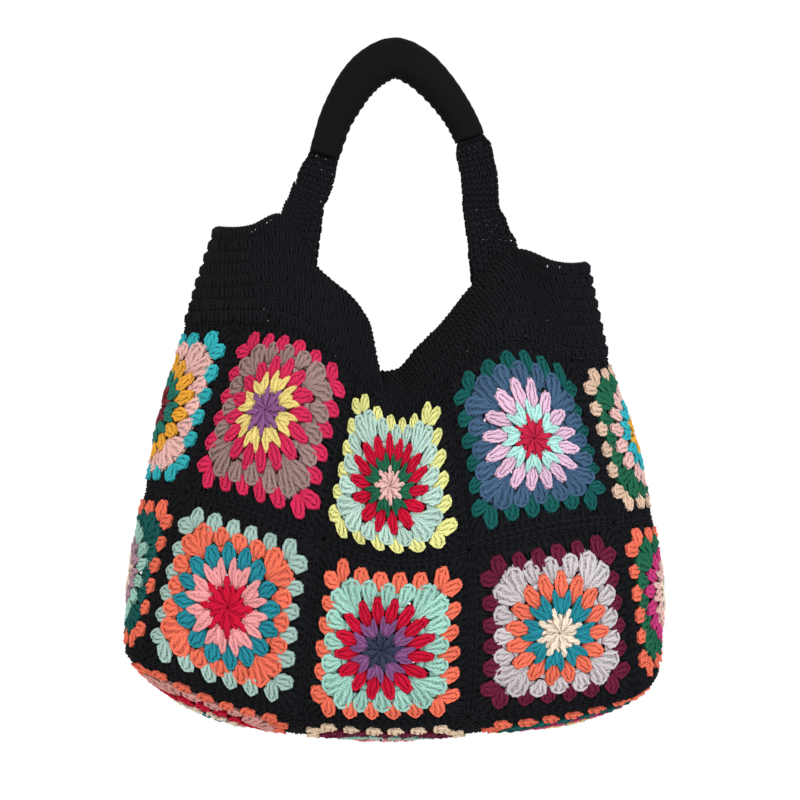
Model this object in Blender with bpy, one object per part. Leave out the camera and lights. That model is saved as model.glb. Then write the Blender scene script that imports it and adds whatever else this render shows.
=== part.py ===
"""A crocheted granny-square shoulder bag, hung by its padded handle.

The bag is a patchwork of nineteen granny squares: two rows of eight round the body, and three in the base.
A black crocheted yoke runs round the top edge, two crocheted straps rise from it, front and back,
and a smooth padded sleeve holds the straps together where the hand or the hook takes the load.
Every piece is made flat, the way it is crocheted, and is then draped on the form of the hanging bag.

Metres, +Z up, the front faces -Y. The origin is under the top of the handle, where the bag hangs.
"""

import math

import bmesh
import bpy
import numpy as np
from mathutils import Vector

# Driving dimensions
SQUARE = 0.130  # one granny square, from seam to seam
FABRIC = 0.0040  # thickness of the crocheted cloth between the puffs
PUFF = 0.0022  # how far a puff of three stitches stands out of the cloth
CREASE = 0.0006  # how deep the valley between two rounds of a square is
SEAM_GAP = 0.0005  # between two pieces that are joined
YOKE_HEIGHT = 0.074  # the black band above the squares, at the shoulders
YOKE_ROWS = 5  # ridges of the band
YOKE_RIDGE = 0.0010  # how far a ridge stands out
STRAP_WIDTH = 0.0265  # a strap's width between the yoke and the sleeve
STRAP_THICK = 0.0055
STRAP_EDGE = 0.72  # a strap's thickness along its edges, as a share of its full thickness
STRAP_CROWN = 0.4  # how far out from its middle a strap keeps its full thickness, as a share of half its width
STRAP_PINCH = 0.0195  # a strap's width where the sleeve squeezes it
STRAP_GAP = 0.0012  # between the two straps inside the sleeve
STRAP_SPLAY = 0.0085  # how far each strap leans out at the lower end of the handle line
SPLAY_CURVE = 1.3  # how late a strap starts to lean out: 1 is evenly
SLEEVE_WIDTH = 0.032  # at the top of the handle
SLEEVE_END_WIDTH = 0.0245  # where the sleeve closes on the straps
SLEEVE_DEPTH = 0.0235
SLEEVE_END_DEPTH = 0.0205
SLEEVE_CLEARANCE = 0.0005  # between the straps and the sleeve round them
SWELL = 2.0  # how quickly the sleeve narrows away from its top: 1 is even, more is quicker
BASE_SAG = 0.026  # how far the middle of the base hangs below its front and back seams
SAG_REACH = 6  # how far along the base the sag keeps its depth; a higher number reaches nearer to the ends

# The patchwork: columns are counted round the bag from the front's left seam
FRONT_COLUMNS = 3
SIDE_COLUMNS = 1
ROUND_COLUMNS = 2 * (FRONT_COLUMNS + SIDE_COLUMNS)
BODY_ROWS = 2
RIM = BODY_ROWS + YOKE_HEIGHT / SQUARE  # the level of the yoke's top edge, in squares
HALF_WAY = FRONT_COLUMNS + SIDE_COLUMNS / 2  # the middle of the right side

# Where the seams hang, in squares: the place round the bag, then how far right, how far forward and how high.
# Each list runs from the middle of the left side over the front to the middle of the right side.
BASE_SEAM = (
    (-0.5, -1.560, 0.000, -3.340),
    (0.0, -1.415, 0.446, -3.350),
    (0.5, -0.975, 0.477, -3.535),
    (1.0, -0.530, 0.492, -3.650),
    (1.5, -0.060, 0.492, -3.690),
    (2.0, 0.410, 0.492, -3.665),
    (2.5, 0.910, 0.477, -3.620),
    (3.0, 1.360, 0.446, -3.540),
    (3.5, 1.530, 0.000, -3.440),
)
MIDDLE_SEAM = (
    (-0.5, -1.445, 0.000, -2.400),
    (0.0, -1.180, 0.462, -2.405),
    (0.5, -0.800, 0.692, -2.500),
    (1.0, -0.395, 0.754, -2.645),
    (1.5, -0.006, 0.815, -2.755),
    (2.0, 0.410, 0.754, -2.705),
    (2.5, 0.830, 0.692, -2.615),
    (3.0, 1.235, 0.462, -2.570),
    (3.5, 1.488, 0.000, -2.560),
)
TOP_SEAM = (
    (-0.5, -1.215, 0.000, -1.435),
    (0.0, -0.880, 0.400, -1.438),
    (0.5, -0.535, 0.560, -1.490),
    (1.0, -0.225, 0.569, -1.740),
    (1.5, 0.025, 0.630, -1.950),
    (2.0, 0.285, 0.569, -1.765),
    (2.5, 0.645, 0.560, -1.530),
    (3.0, 1.000, 0.400, -1.650),
    (3.5, 1.230, 0.000, -1.615),
)
# The rim is given at the height of the squares' own yarn; the yoke's height is added to it below.
RIM_EDGE = (
    (-0.5, -1.033, 0.000, -0.868),
    (0.0, -0.815, 0.350, -0.880),
    (0.25, -0.660, 0.225, -0.810),
    (0.625, -0.470, 0.185, -1.100),
    (1.0, -0.210, 0.240, -1.345),
    (1.25, -0.150, 0.262, -1.535),
    (1.375, -0.166, 0.275, -1.700),
    (1.5, -0.066, 0.285, -1.730),
    (1.625, 0.034, 0.280, -1.702),
    (1.75, 0.118, 0.270, -1.604),
    (2.0, 0.265, 0.240, -1.455),
    (2.375, 0.460, 0.185, -1.215),
    (2.75, 0.710, 0.225, -1.012),
    (3.0, 0.900, 0.350, -1.085),
    (3.5, 1.110, 0.000, -1.073),
)
DRAWN_YOKE = 0.569  # the yoke's height in squares for which the rim was set out

# The strap stands on the yoke between these two places, and the same on the right
STRAP_FOOT = (0.25, 0.375, 0.5, 0.625)
# The middle line of the handle from the left leg over the top to the right leg: right and up, in metres
HANDLE_LINE = (
    (-0.0660, -0.0900),
    (-0.0549, -0.0616),
    (-0.0503, -0.0464),
    (-0.0452, -0.0312),
    (-0.0369, -0.0152),
    (-0.0290, -0.0030),
    (-0.0175, 0.0085),
    (0.0000, SLEEVE_WIDTH / 2),
    (0.0165, 0.0092),
    (0.0295, -0.0025),
    (0.0422, -0.0182),
    (0.0500, -0.0305),
    (0.0557, -0.0425),
    (0.0600, -0.0560),
    (0.0650, -0.0950),
)
SLEEVE_FROM, SLEEVE_TO = 0.034, 0.2165  # the sleeve's two ends, measured along the handle line
STRAP_SPREAD = 0.008  # how far past the sleeve a strap is at its full width
FOOT_FLARE = 0.38  # where between the leg and the yoke a strap starts to widen into its foot

# Shapes of the rounds
SPOKES = 16  # puffs in each round of a square's solid
ROUNDS = (  # outer radius as a share of half a square, and how square the round is
    (0.25, 0.0),
    (0.45, 0.0),
    (0.62, 0.15),
    (0.75, 0.75),
    (0.865, 0.92),
    (1.00, 1.0),
)
CORNERS = 4  # of a square
INSIDE_ROUNDS = (3, 1)  # the rounds that are told apart on a square's plain inside
YOKE_STEPS = 8  # facets of the yoke for each square below it
SHARP_ANGLE = 60  # in degrees: edges that turn more than this stay crisp
SLEEVE_SIDES = 10
SLEEVE_STEPS = 14

# Yarn colours
YARNS = {
    "black": (0.012, 0.012, 0.015),
    "cream": (0.87, 0.80, 0.58),
    "red": (0.62, 0.02, 0.05),
    "crimson": (0.55, 0.02, 0.06),
    "hot_pink": (0.74, 0.03, 0.12),
    "magenta": (0.65, 0.03, 0.25),
    "pink": (0.91, 0.35, 0.40),
    "pale_pink": (0.87, 0.50, 0.55),
    "lilac_pink": (0.80, 0.45, 0.60),
    "coral": (0.88, 0.17, 0.08),
    "peach": (0.80, 0.47, 0.27),
    "gold": (0.78, 0.35, 0.02),
    "yellow": (0.79, 0.76, 0.23),
    "mint": (0.40, 0.78, 0.65),
    "pale_aqua": (0.50, 0.72, 0.70),
    "teal": (0.015, 0.27, 0.37),
    "green": (0.01, 0.14, 0.06),
    "sea_green": (0.01, 0.13, 0.10),
    "slate": (0.07, 0.12, 0.25),
    "purple": (0.24, 0.09, 0.28),
    "mauve": (0.45, 0.25, 0.42),
    "taupe": (0.27, 0.21, 0.19),
    "grey": (0.55, 0.53, 0.55),
    "burgundy": (0.14, 0.01, 0.03),
}
BLACK_YARN = "black"
SLEEVE_CLOTH = (0.009, 0.009, 0.009)

# Each square's yarns, from its middle outwards; every square ends in a black round
FRONT_UPPER = (
    ("purple", "yellow", "hot_pink", "taupe", "hot_pink"),
    ("pale_pink", "green", "red", "pale_aqua", "yellow"),
    ("crimson", "mint", "lilac_pink", "slate", "sea_green"),
)
FRONT_LOWER = (
    ("red", "pink", "teal", "coral", "mint"),
    ("slate", "purple", "red", "mint", "coral"),
    ("cream", "teal", "coral", "grey", "burgundy"),
)
BACK_UPPER = (
    ("yellow", "coral", "slate", "pale_pink", "teal"),
    ("red", "cream", "green", "gold", "hot_pink"),
    ("teal", "pink", "burgundy", "mint", "cream"),
)
BACK_LOWER = (
    ("magenta", "pale_aqua", "purple", "yellow", "sea_green"),
    ("gold", "red", "lilac_pink", "teal", "peach"),
    ("cream", "mauve", "coral", "slate", "mint"),
)
RIGHT_UPPER = (("gold", "teal", "pink", "green", "peach"),)
RIGHT_LOWER = (("cream", "pale_pink", "magenta", "green", "coral"),)
LEFT_UPPER = (("crimson", "sea_green", "gold", "pale_pink", "teal"),)
LEFT_LOWER = (("cream", "mauve", "mint", "sea_green", "coral"),)
BASE = (
    ("teal", "cream", "coral", "pale_pink", "coral"),
    ("sea_green", "pink", "mint", "burgundy", "cream"),
    ("purple", "yellow", "magenta", "green", "coral"),
)
PLACES = ("left", "middle", "right")

# How finely a slope is read, and how wide the turn of the cloth at the base seam is
NUDGE = 0.002  # in squares, for reading slopes of the form
MITRE_REACH = 0.12  # in squares, how far from the base seam the cloth still leans to its mitre


# The hanging form


def cubic(start, end, leaving, arriving, t):
    """A cubic from start to end that leaves and arrives with the given slopes."""
    bend = t * t * (3 - 2 * t)
    return start * (1 - bend) + end * bend + t * (1 - t) ** 2 * leaving + t * t * (t - 1) * arriving


def smooth_through(stations, points, at):
    """Points at the places `at` on a smooth curve that passes through `points` at `stations`."""
    stations, points = np.asarray(stations, float), np.asarray(points, float)
    slopes = np.gradient(points, stations, axis=0, edge_order=2)
    first = np.clip(np.searchsorted(stations, at, side="right") - 1, 0, len(stations) - 2)
    span = (stations[first + 1] - stations[first])[:, None]
    t = (at - stations[first])[:, None] / span
    return cubic(points[first], points[first + 1], span * slopes[first], span * slopes[first + 1], t)


def whole_ring(edge, lift):
    """Stations and points right round the bag: the front as given and the back as its mirror image."""
    front = [(place, (x, -forward, up + lift)) for place, x, forward, up in edge]
    back = [(2 * HALF_WAY - place, (x, -y, z)) for place, (x, y, z) in reversed(front[1:-1])]
    ring = front + back
    turns = [(place + turn * ROUND_COLUMNS, point) for turn in (-1, 0, 1) for place, point in ring]
    stations = [place for place, _ in turns]
    points = [[SQUARE * value for value in point] for _, point in turns]
    return stations, points


LEVELS = (0, 1, BODY_ROWS, RIM)
RINGS = (
    whole_ring(BASE_SEAM, 0),
    whole_ring(MIDDLE_SEAM, 0),
    whole_ring(TOP_SEAM, 0),
    whole_ring(RIM_EDGE, YOKE_HEIGHT / SQUARE - DRAWN_YOKE),
)


def body_form(place, level):
    """Points of the bag's wall: `place` runs round the bag and `level` up it, both in squares."""
    rings = np.stack([smooth_through(stations, points, place) for stations, points in RINGS])
    heights = np.asarray(LEVELS, float)
    slopes = np.gradient(rings, heights, axis=0, edge_order=2)
    first = np.clip(np.searchsorted(heights, level, side="right") - 1, 0, len(heights) - 2)
    each = np.arange(len(place))
    span = (heights[first + 1] - heights[first])[:, None]
    t = (level - heights[first])[:, None] / span
    leaving, arriving = span * slopes[first, each], span * slopes[first + 1, each]
    return cubic(rings[first, each], rings[first + 1, each], leaving, arriving, t)


def arch(share):
    """0 at both ends and 1 in the middle."""
    return 4 * share * (1 - share)


def base_form(along, across):
    """Points of the base: `along` runs from left to right and `across` from front to back, both in squares."""
    def seam(place):
        return smooth_through(*RINGS[0], place)

    share = (along / FRONT_COLUMNS)[:, None]
    back = across[:, None]
    front_edge, back_edge = seam(along), seam(2 * HALF_WAY - along)
    left_edge, right_edge = seam(-across), seam(FRONT_COLUMNS + across)
    corners = seam(np.array([0.0, FRONT_COLUMNS, ROUND_COLUMNS - 1.0, FRONT_COLUMNS + 1.0]))
    flat = (
        corners[0] * (1 - share) * (1 - back)
        + corners[1] * share * (1 - back)
        + corners[2] * (1 - share) * back
        + corners[3] * share * back
    )
    patch = front_edge * (1 - back) + back_edge * back + left_edge * (1 - share) + right_edge * share - flat
    sag = arch(back) * (1 - (2 * share - 1) ** SAG_REACH) * BASE_SAG
    return patch - sag * np.array([0.0, 0.0, 1.0])


def outward(form, first, second, flip):
    """Unit normals of a form, pointing out of the bag."""
    along = form(first + NUDGE, second) - form(first - NUDGE, second)
    up = form(first, second + NUDGE) - form(first, second - NUDGE)
    normal = np.cross(along, up) * flip
    return normal / np.linalg.norm(normal, axis=1)[:, None]


def base_normal(along, across):
    """The base's normal, read a little way in from its edges: at its rounded corners there is none."""
    along = np.clip(along, MITRE_REACH, FRONT_COLUMNS - MITRE_REACH)
    across = np.clip(across, MITRE_REACH, SIDE_COLUMNS - MITRE_REACH)
    return outward(base_form, along, across, -1)


def seam_normal(place):
    """The direction that halves the angle between the wall and the base at the base seam."""
    place = np.mod(place, ROUND_COLUMNS)
    level = np.zeros(len(place))
    along = np.where(place <= HALF_WAY, place, 2 * HALF_WAY - place)
    along = np.clip(np.where(place > ROUND_COLUMNS - 1, 0, along), 0, FRONT_COLUMNS)
    right, left = place - FRONT_COLUMNS, ROUND_COLUMNS - place
    across = np.where(place <= FRONT_COLUMNS, 0, np.where(place >= ROUND_COLUMNS - 1, left, right))
    across = np.clip(across, 0, SIDE_COLUMNS)
    both = outward(body_form, place, level, 1) + base_normal(along, across)
    return both / np.linalg.norm(both, axis=1)[:, None]


def toward(normal, mitre, distance):
    """The normal, turned to the mitre's direction near the seam."""
    share = np.clip(distance / MITRE_REACH, 0, 1)[:, None]
    mixed = normal * share + mitre * (1 - share)
    return mixed / np.linalg.norm(mixed, axis=1)[:, None]


def drape_wall(place, level, height):
    """Lays flat points on the wall of the bag, `height` above the middle of its cloth."""
    normal = outward(body_form, place, level, 1)
    normal = toward(normal, seam_normal(place), level)
    return body_form(place, level) + normal * height[:, None]


def drape_base(along, across, height):
    """Lays flat points on the base of the bag, `height` below the middle of its cloth."""
    normal = base_normal(along, across)
    edges = (
        (across, along),
        (SIDE_COLUMNS - across, 2 * HALF_WAY - along),
        (along, ROUND_COLUMNS - across),
        (FRONT_COLUMNS - along, FRONT_COLUMNS + across),
    )
    pull = np.zeros(len(along))
    mitre = np.zeros((len(along), 3))
    for distance, place in edges:
        weight = 1 / (distance + NUDGE / 10) ** 2
        mitre += seam_normal(place) * weight[:, None]
        pull = np.maximum(pull, 1 - np.clip(distance / MITRE_REACH, 0, 1))
    mitre /= np.linalg.norm(mitre, axis=1)[:, None]
    mixed = toward(normal, mitre, (1 - pull) * MITRE_REACH)
    return base_form(along, across) + mixed * height[:, None]


# Making pieces


def cloth(name, colour, roughness):
    """A plain material, made once and shared by every piece that uses it."""
    found = bpy.data.materials.get(name)
    if found:
        return found
    made = bpy.data.materials.new(name)
    made.use_nodes = True
    shader = made.node_tree.nodes["Principled BSDF"]
    shader.inputs["Base Color"].default_value = (*colour, 1)
    shader.inputs["Roughness"].default_value = roughness
    shader.inputs["Metallic"].default_value = 0
    made.diffuse_color = (*colour, 1)
    return made


def yarn(name):
    """The material of one yarn."""
    return cloth(name + "_yarn", YARNS[name], 0.9)


def next_loop(bm, loop):
    """Extrudes a closed loop of vertices and gives the new loop in the same order."""
    edges = [bm.edges.get((loop[k - 1], vert)) for k, vert in enumerate(loop)]
    made = bmesh.ops.extrude_edge_only(bm, edges=edges)["geom"]
    new = {item for item in made if isinstance(item, bmesh.types.BMVert)}
    return [next(e.other_vert(v) for e in v.link_edges if e.other_vert(v) in new) for v in loop]


def set_outward(bm):
    """Turns every face of a closed mesh outwards."""
    bmesh.ops.recalc_face_normals(bm, faces=bm.faces)
    if bm.calc_volume(signed=True) < 0:
        bmesh.ops.reverse_faces(bm, faces=bm.faces)


def finish(bm, name, materials, home):
    """Turns a mesh into a named object whose origin is at `home`."""
    set_outward(bm)
    bmesh.ops.translate(bm, verts=bm.verts, vec=-home)
    mesh = bpy.data.meshes.new(name)
    bm.to_mesh(mesh)
    bm.free()
    mesh.set_sharp_from_angle(angle=math.radians(SHARP_ANGLE))
    made = bpy.data.objects.new(name, mesh)
    for material in materials:
        mesh.materials.append(material)
    made.location = home
    pieces.objects.link(made)
    return made


def move_all(bm, drape):
    """Moves every vertex to the place that `drape` gives for its flat coordinates."""
    bm.verts.ensure_lookup_table()
    flat = np.array([v.co for v in bm.verts])
    for vert, place in zip(bm.verts, drape(flat)):
        vert.co = place


# Granny squares


def spoke_directions():
    """Where the spokes of a square leave its middle: evenly spaced along the edge of a square."""
    per_side = SPOKES // CORNERS
    side = [(1.0, -1 + 2 * k / per_side) for k in range(per_side)]
    spokes = []
    for turn in range(CORNERS):
        angle = turn * 2 * math.pi / CORNERS
        c, s = round(math.cos(angle)), round(math.sin(angle))
        spokes += [(x * c - y * s, x * s + y * c) for x, y in side]
    return spokes


def round_points(share, squareness, height):
    """One round of a square, from a circle (squareness 0) to the square's own outline (1)."""
    half = SQUARE / 2 - SEAM_GAP / 2
    points = []
    for x, y in spoke_directions():
        length = math.hypot(x, y)
        scale = half * share * (squareness + (1 - squareness) / length)
        points.append(Vector((x * scale, y * scale, height)))
    return points


def flat_square():
    """A granny square as it lies on the table: rounds grown from the middle, puffs on its right side."""
    bm = bmesh.new()
    top, valley = FABRIC / 2, FABRIC / 2 - CREASE
    share, squareness = ROUNDS[0]
    loop = bmesh.ops.create_circle(bm, cap_ends=True, radius=1, segments=SPOKES)["verts"]
    for vert, point in zip(loop, round_points(share, squareness, valley)):
        vert.co = point
    for number, (share, squareness) in enumerate(ROUNDS[1:], start=1):
        before = set(bm.faces)
        loop = next_loop(bm, loop)
        last = number == len(ROUNDS) - 1
        for vert, point in zip(loop, round_points(share, squareness, top if last else valley)):
            vert.co = point
        for face in set(bm.faces) - before:
            face.material_index = number
    right_side = list(bm.faces)

    wall = next_loop(bm, loop)
    for vert in wall:
        vert.co.z = -FABRIC / 2
    edge = len(ROUNDS) - 1
    for face in set(bm.faces) - set(right_side):
        face.material_index = edge
    loop = wall
    for number in INSIDE_ROUNDS:
        before = set(bm.faces)
        share, squareness = ROUNDS[number]
        loop = next_loop(bm, loop)
        for vert, point in zip(loop, round_points(share, squareness, -FABRIC / 2)):
            vert.co = point
        for face in set(bm.faces) - before:
            face.material_index = number
    bmesh.ops.contextual_create(bm, geom=loop)

    set_outward(bm)
    puffed = [face for face in right_side if face.material_index < edge]
    bmesh.ops.poke(bm, faces=puffed, offset=PUFF + CREASE)
    return bm


def square_piece(name, colours, drape):
    """One granny square in its place on the bag."""
    bm = flat_square()
    move_all(bm, drape)
    home = Vector(drape(np.zeros((1, 3)))[0])
    materials = [yarn(colour) for colour in colours + (BLACK_YARN,)]
    return finish(bm, name, materials, home)


def on_wall(column, row):
    """How a flat square is draped in the wall."""
    def drape(flat):
        place = column + 0.5 + flat[:, 0] / SQUARE
        level = row + 0.5 + flat[:, 1] / SQUARE
        return drape_wall(place, level, flat[:, 2])

    return drape


def on_base(column):
    """How a flat square is draped in the base; its far edge meets the front."""
    def drape(flat):
        along = column + 0.5 + flat[:, 0] / SQUARE
        across = 0.5 - flat[:, 1] / SQUARE
        return drape_base(along, across, flat[:, 2])

    return drape


def add_squares():
    """All nineteen squares."""
    back_start = FRONT_COLUMNS + SIDE_COLUMNS
    for row, front, back in ((1, FRONT_UPPER, BACK_UPPER), (0, FRONT_LOWER, BACK_LOWER)):
        high = "upper" if row else "lower"
        for k, place in enumerate(PLACES):
            square_piece(f"front_{high}_{place}_square", front[k], on_wall(k, row))
            far = back_start + FRONT_COLUMNS - 1 - k
            square_piece(f"back_{high}_{place}_square", back[k], on_wall(far, row))
    sides = (
        ("right", FRONT_COLUMNS, RIGHT_UPPER, RIGHT_LOWER),
        ("left", ROUND_COLUMNS - 1, LEFT_UPPER, LEFT_LOWER),
    )
    for side, column, upper, lower in sides:
        square_piece(f"{side}_side_upper_square", upper[0], on_wall(column, 1))
        square_piece(f"{side}_side_lower_square", lower[0], on_wall(column, 0))
    for k, place in enumerate(PLACES):
        square_piece(f"base_{place}_square", BASE[k], on_base(k))


# The yoke


def yoke_profile():
    """The yoke's section as (level, height) points: ridges outside, plain inside."""
    low, high = BODY_ROWS + SEAM_GAP / 2 / SQUARE, RIM
    outside, inside = FABRIC / 2, -FABRIC / 2
    profile = [(low, outside)]
    for row in range(YOKE_ROWS):
        crest = low + (high - low) * (row + 0.5) / YOKE_ROWS
        profile.append((crest, outside + YOKE_RIDGE))
        if row < YOKE_ROWS - 1:
            profile.append((low + (high - low) * (row + 1) / YOKE_ROWS, outside))
    profile += [(high, outside), (high, inside), ((low + high) / 2, inside), (low, inside)]
    return profile


def drape_yoke(place, level, height):
    """Lays the yoke on the bag; between two facets of the squares' edge its lower edge stays on their chord."""
    laid = drape_wall(place, level, height)
    facet = CORNERS / SPOKES
    low = level < BODY_ROWS + SEAM_GAP / SQUARE
    before = np.floor(place / facet + NUDGE) * facet
    share = ((place - before) / facet)[:, None]
    chord = drape_wall(before, level, height) * (1 - share) + drape_wall(before + facet, level, height) * share
    return np.where(low[:, None], chord, laid)


def add_yoke():
    """The black band, spun as a ring and then draped along the top edge of the squares."""
    steps = YOKE_STEPS * ROUND_COLUMNS
    reach = 1.0  # the ring's radius before it is draped; the cloth's height is added to it
    bm = bmesh.new()
    verts = [bm.verts.new((reach + height, 0, level)) for level, height in yoke_profile()]
    edges = [bm.edges.new((verts[k - 1], vert)) for k, vert in enumerate(verts)]
    bmesh.ops.spin(
        bm, geom=verts + edges, axis=(0, 0, 1), cent=(0, 0, 0), steps=steps, angle=2 * math.pi, use_merge=True
    )

    def drape(flat):
        place = np.mod(np.arctan2(flat[:, 1], flat[:, 0]) / (2 * math.pi), 1) * ROUND_COLUMNS
        place = np.round(place * YOKE_STEPS) / YOKE_STEPS
        height = np.hypot(flat[:, 0], flat[:, 1]) - reach
        return drape_yoke(place, flat[:, 2], height)

    move_all(bm, drape)
    home = Vector((0, 0, SQUARE * RIM_EDGE[0][3]))
    finish(bm, "yoke", [yarn(BLACK_YARN)], home)


# Handle


def handle_stations():
    """How far each point of the handle line lies along it."""
    steps = np.linalg.norm(np.diff(HANDLE_LINE, axis=0), axis=1)
    return np.concatenate([[0], np.cumsum(steps)])


def handle_frame(at):
    """Middle and sideways direction of the handle at distances along its line."""
    stations = handle_stations()
    line = smooth_through(stations, HANDLE_LINE, at)
    step = FABRIC / 10
    ahead = smooth_through(stations, HANDLE_LINE, at + step) - smooth_through(stations, HANDLE_LINE, at - step)
    ahead /= np.linalg.norm(ahead, axis=1)[:, None]
    middle = np.stack([line[:, 0], np.zeros(len(at)), line[:, 1]], axis=1)
    side = np.stack([-ahead[:, 1], np.zeros(len(at)), ahead[:, 0]], axis=1)
    return middle, side


def below_sleeve(at):
    """How far a place lies outside the sleeve, along the handle line."""
    return np.maximum(0, np.maximum(SLEEVE_FROM - at, at - SLEEVE_TO))


def strap_outline(at):
    """A strap's half width, the distance from the handle's middle to its own, and its half thicknesses."""
    clear = below_sleeve(at)
    free = np.clip(clear / STRAP_SPREAD, 0, 1)
    half_width = (STRAP_PINCH + (STRAP_WIDTH - STRAP_PINCH) * free) / 2
    apart = STRAP_THICK / 2 + STRAP_GAP / 2 + STRAP_SPLAY * np.clip(clear / SLEEVE_FROM, 0, 1) ** SPLAY_CURVE
    return half_width, apart, STRAP_THICK * STRAP_EDGE / 2, STRAP_THICK / 2


def strap_section(at, facing):
    """Points on the face of a strap and on its reverse, for each place along the handle."""
    middle, side = handle_frame(at)
    half_width, apart, edge, full = strap_outline(at)
    face, reverse = [], []
    for across, half in ((1, edge), (STRAP_CROWN, full), (-STRAP_CROWN, full), (-1, edge)):
        for sign, row in ((1, face), (-1, reverse)):
            y = facing * (apart + sign * half)
            row.append(middle + side * (across * half_width)[:, None] + np.outer(y, (0, 1, 0)))
    return np.stack(face + reverse[::-1], axis=1)


def strap_foot(places, facing):
    """The strap's lower end: the top edge of the yoke, one seam's gap above it."""
    places = np.asarray(places, float)
    if facing > 0:
        places = 2 * HALF_WAY - places
    level = np.full(len(places), RIM + SEAM_GAP / SQUARE)
    thick = np.full(len(places), FABRIC / 2)
    face = drape_wall(places, level, thick)
    reverse = drape_wall(places, level, -thick)
    return np.concatenate([face, reverse[::-1]])


def between(leg, foot):
    """The section where a strap starts to widen into its foot."""
    return leg + (foot - leg) * FOOT_FLARE


def add_strap(name, facing):
    """A strap from its left foot on the yoke, through the sleeve, to its right foot."""
    right_foot = [FRONT_COLUMNS - place for place in STRAP_FOOT]
    length = handle_stations()[-1]
    left_leg = np.linspace(0, SLEEVE_FROM - STRAP_SPREAD, 3)
    right_leg = np.linspace(SLEEVE_TO + STRAP_SPREAD, length, 3)
    sections = strap_section(np.concatenate([left_leg, sleeve_stations(), right_leg]), facing)
    first, last = strap_foot(STRAP_FOOT, facing), strap_foot(right_foot, facing)
    rings = [first, between(sections[0], first), *sections, between(sections[-1], last), last]
    bm = bmesh.new()
    loop = bmesh.ops.create_circle(bm, radius=1, segments=len(rings[0]))["verts"]
    lower_end = loop
    for number, ring in enumerate(rings):
        if number:
            loop = next_loop(bm, loop)
        for vert, point in zip(loop, ring):
            vert.co = point
    for end in (lower_end, loop):
        for k in range(len(STRAP_FOOT) - 1):
            bmesh.ops.contextual_create(bm, geom=[end[k], end[k + 1], end[-2 - k], end[-1 - k]])
    top = Vector((0, facing * STRAP_THICK / 2, SLEEVE_WIDTH / 2))
    finish(bm, name, [yarn(BLACK_YARN)], top)


def sleeve_stations():
    """Where the sleeve's and the straps' sections stand along the handle, so that neither cuts the other."""
    return np.linspace(SLEEVE_FROM, SLEEVE_TO, SLEEVE_STEPS + 1)


def sleeve_outside(at):
    """Oval sections, fullest over the top of the handle."""
    middle, side = handle_frame(at)
    swell = np.sin(np.linspace(0, math.pi, len(at))) ** SWELL
    width = (SLEEVE_END_WIDTH + (SLEEVE_WIDTH - SLEEVE_END_WIDTH) * swell) / 2
    depth = (SLEEVE_END_DEPTH + (SLEEVE_DEPTH - SLEEVE_END_DEPTH) * swell) / 2
    points = []
    for k in range(SLEEVE_SIDES):
        angle = 2 * math.pi * k / SLEEVE_SIDES
        offset = np.outer(depth * math.sin(angle), (0, 1, 0))
        points.append(middle + side * (width * math.cos(angle))[:, None] + offset)
    return np.stack(points, axis=1)


def sleeve_inside(at):
    """The hole in the sleeve: the outline of the two straps, with the clearance round it."""
    middle, side = handle_frame(at)
    half_width, apart, edge, full = strap_outline(at)
    half_width = half_width + SLEEVE_CLEARANCE
    corner, deep = apart + edge + SLEEVE_CLEARANCE, apart + full + SLEEVE_CLEARANCE
    half_turn = [(1, corner), (STRAP_CROWN, deep), (-STRAP_CROWN, deep), (-1, corner)]
    turn = [(1, 0 * at), *half_turn, (-1, 0 * at)] + [(-across, -y) for across, y in half_turn]
    points = [middle + side * (across * half_width)[:, None] + np.outer(y, (0, 1, 0)) for across, y in turn]
    return np.stack(points, axis=1)


def add_sleeve():
    """The padded sleeve: a curved tube that closes on the two straps at its ends."""
    at = sleeve_stations()
    bm = bmesh.new()
    loop = bmesh.ops.create_circle(bm, radius=1, segments=SLEEVE_SIDES)["verts"]
    first = loop
    for number, ring in enumerate([*sleeve_outside(at), *sleeve_inside(at)[::-1]]):
        if number:
            loop = next_loop(bm, loop)
        for vert, point in zip(loop, ring):
            vert.co = point
    ends = [bm.edges.get((ring[k - 1], vert)) for ring in (first, loop) for k, vert in enumerate(ring)]
    bmesh.ops.bridge_loops(bm, edges=ends)
    top = Vector((0, 0, SLEEVE_WIDTH / 2))
    finish(bm, "handle_sleeve", [cloth("sleeve_cloth", SLEEVE_CLOTH, 0.7)], top)


def clear_scene():
    for item in list(bpy.data.objects):
        bpy.data.objects.remove(item)


clear_scene()
pieces = bpy.data.collections.new("granny_square_bag")
bpy.context.scene.collection.children.link(pieces)
add_squares()
add_yoke()
add_strap("front_strap", -1)
add_strap("back_strap", 1)
add_sleeve()
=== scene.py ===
# %% [markdown]
# # A crocheted granny-square shoulder bag
# The bag hangs by its padded handle. Nineteen granny squares make its walls and base, a black crocheted
# yoke runs round the top edge, and two crocheted straps run up into one smooth sleeve.
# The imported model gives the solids, their places and their names. This script works every stitch of the
# cloth, dyes the yarn, and sets up the light and the camera.

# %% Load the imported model
import math

import bmesh
import bpy
import numpy as np
from mathutils import Matrix, Vector


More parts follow.
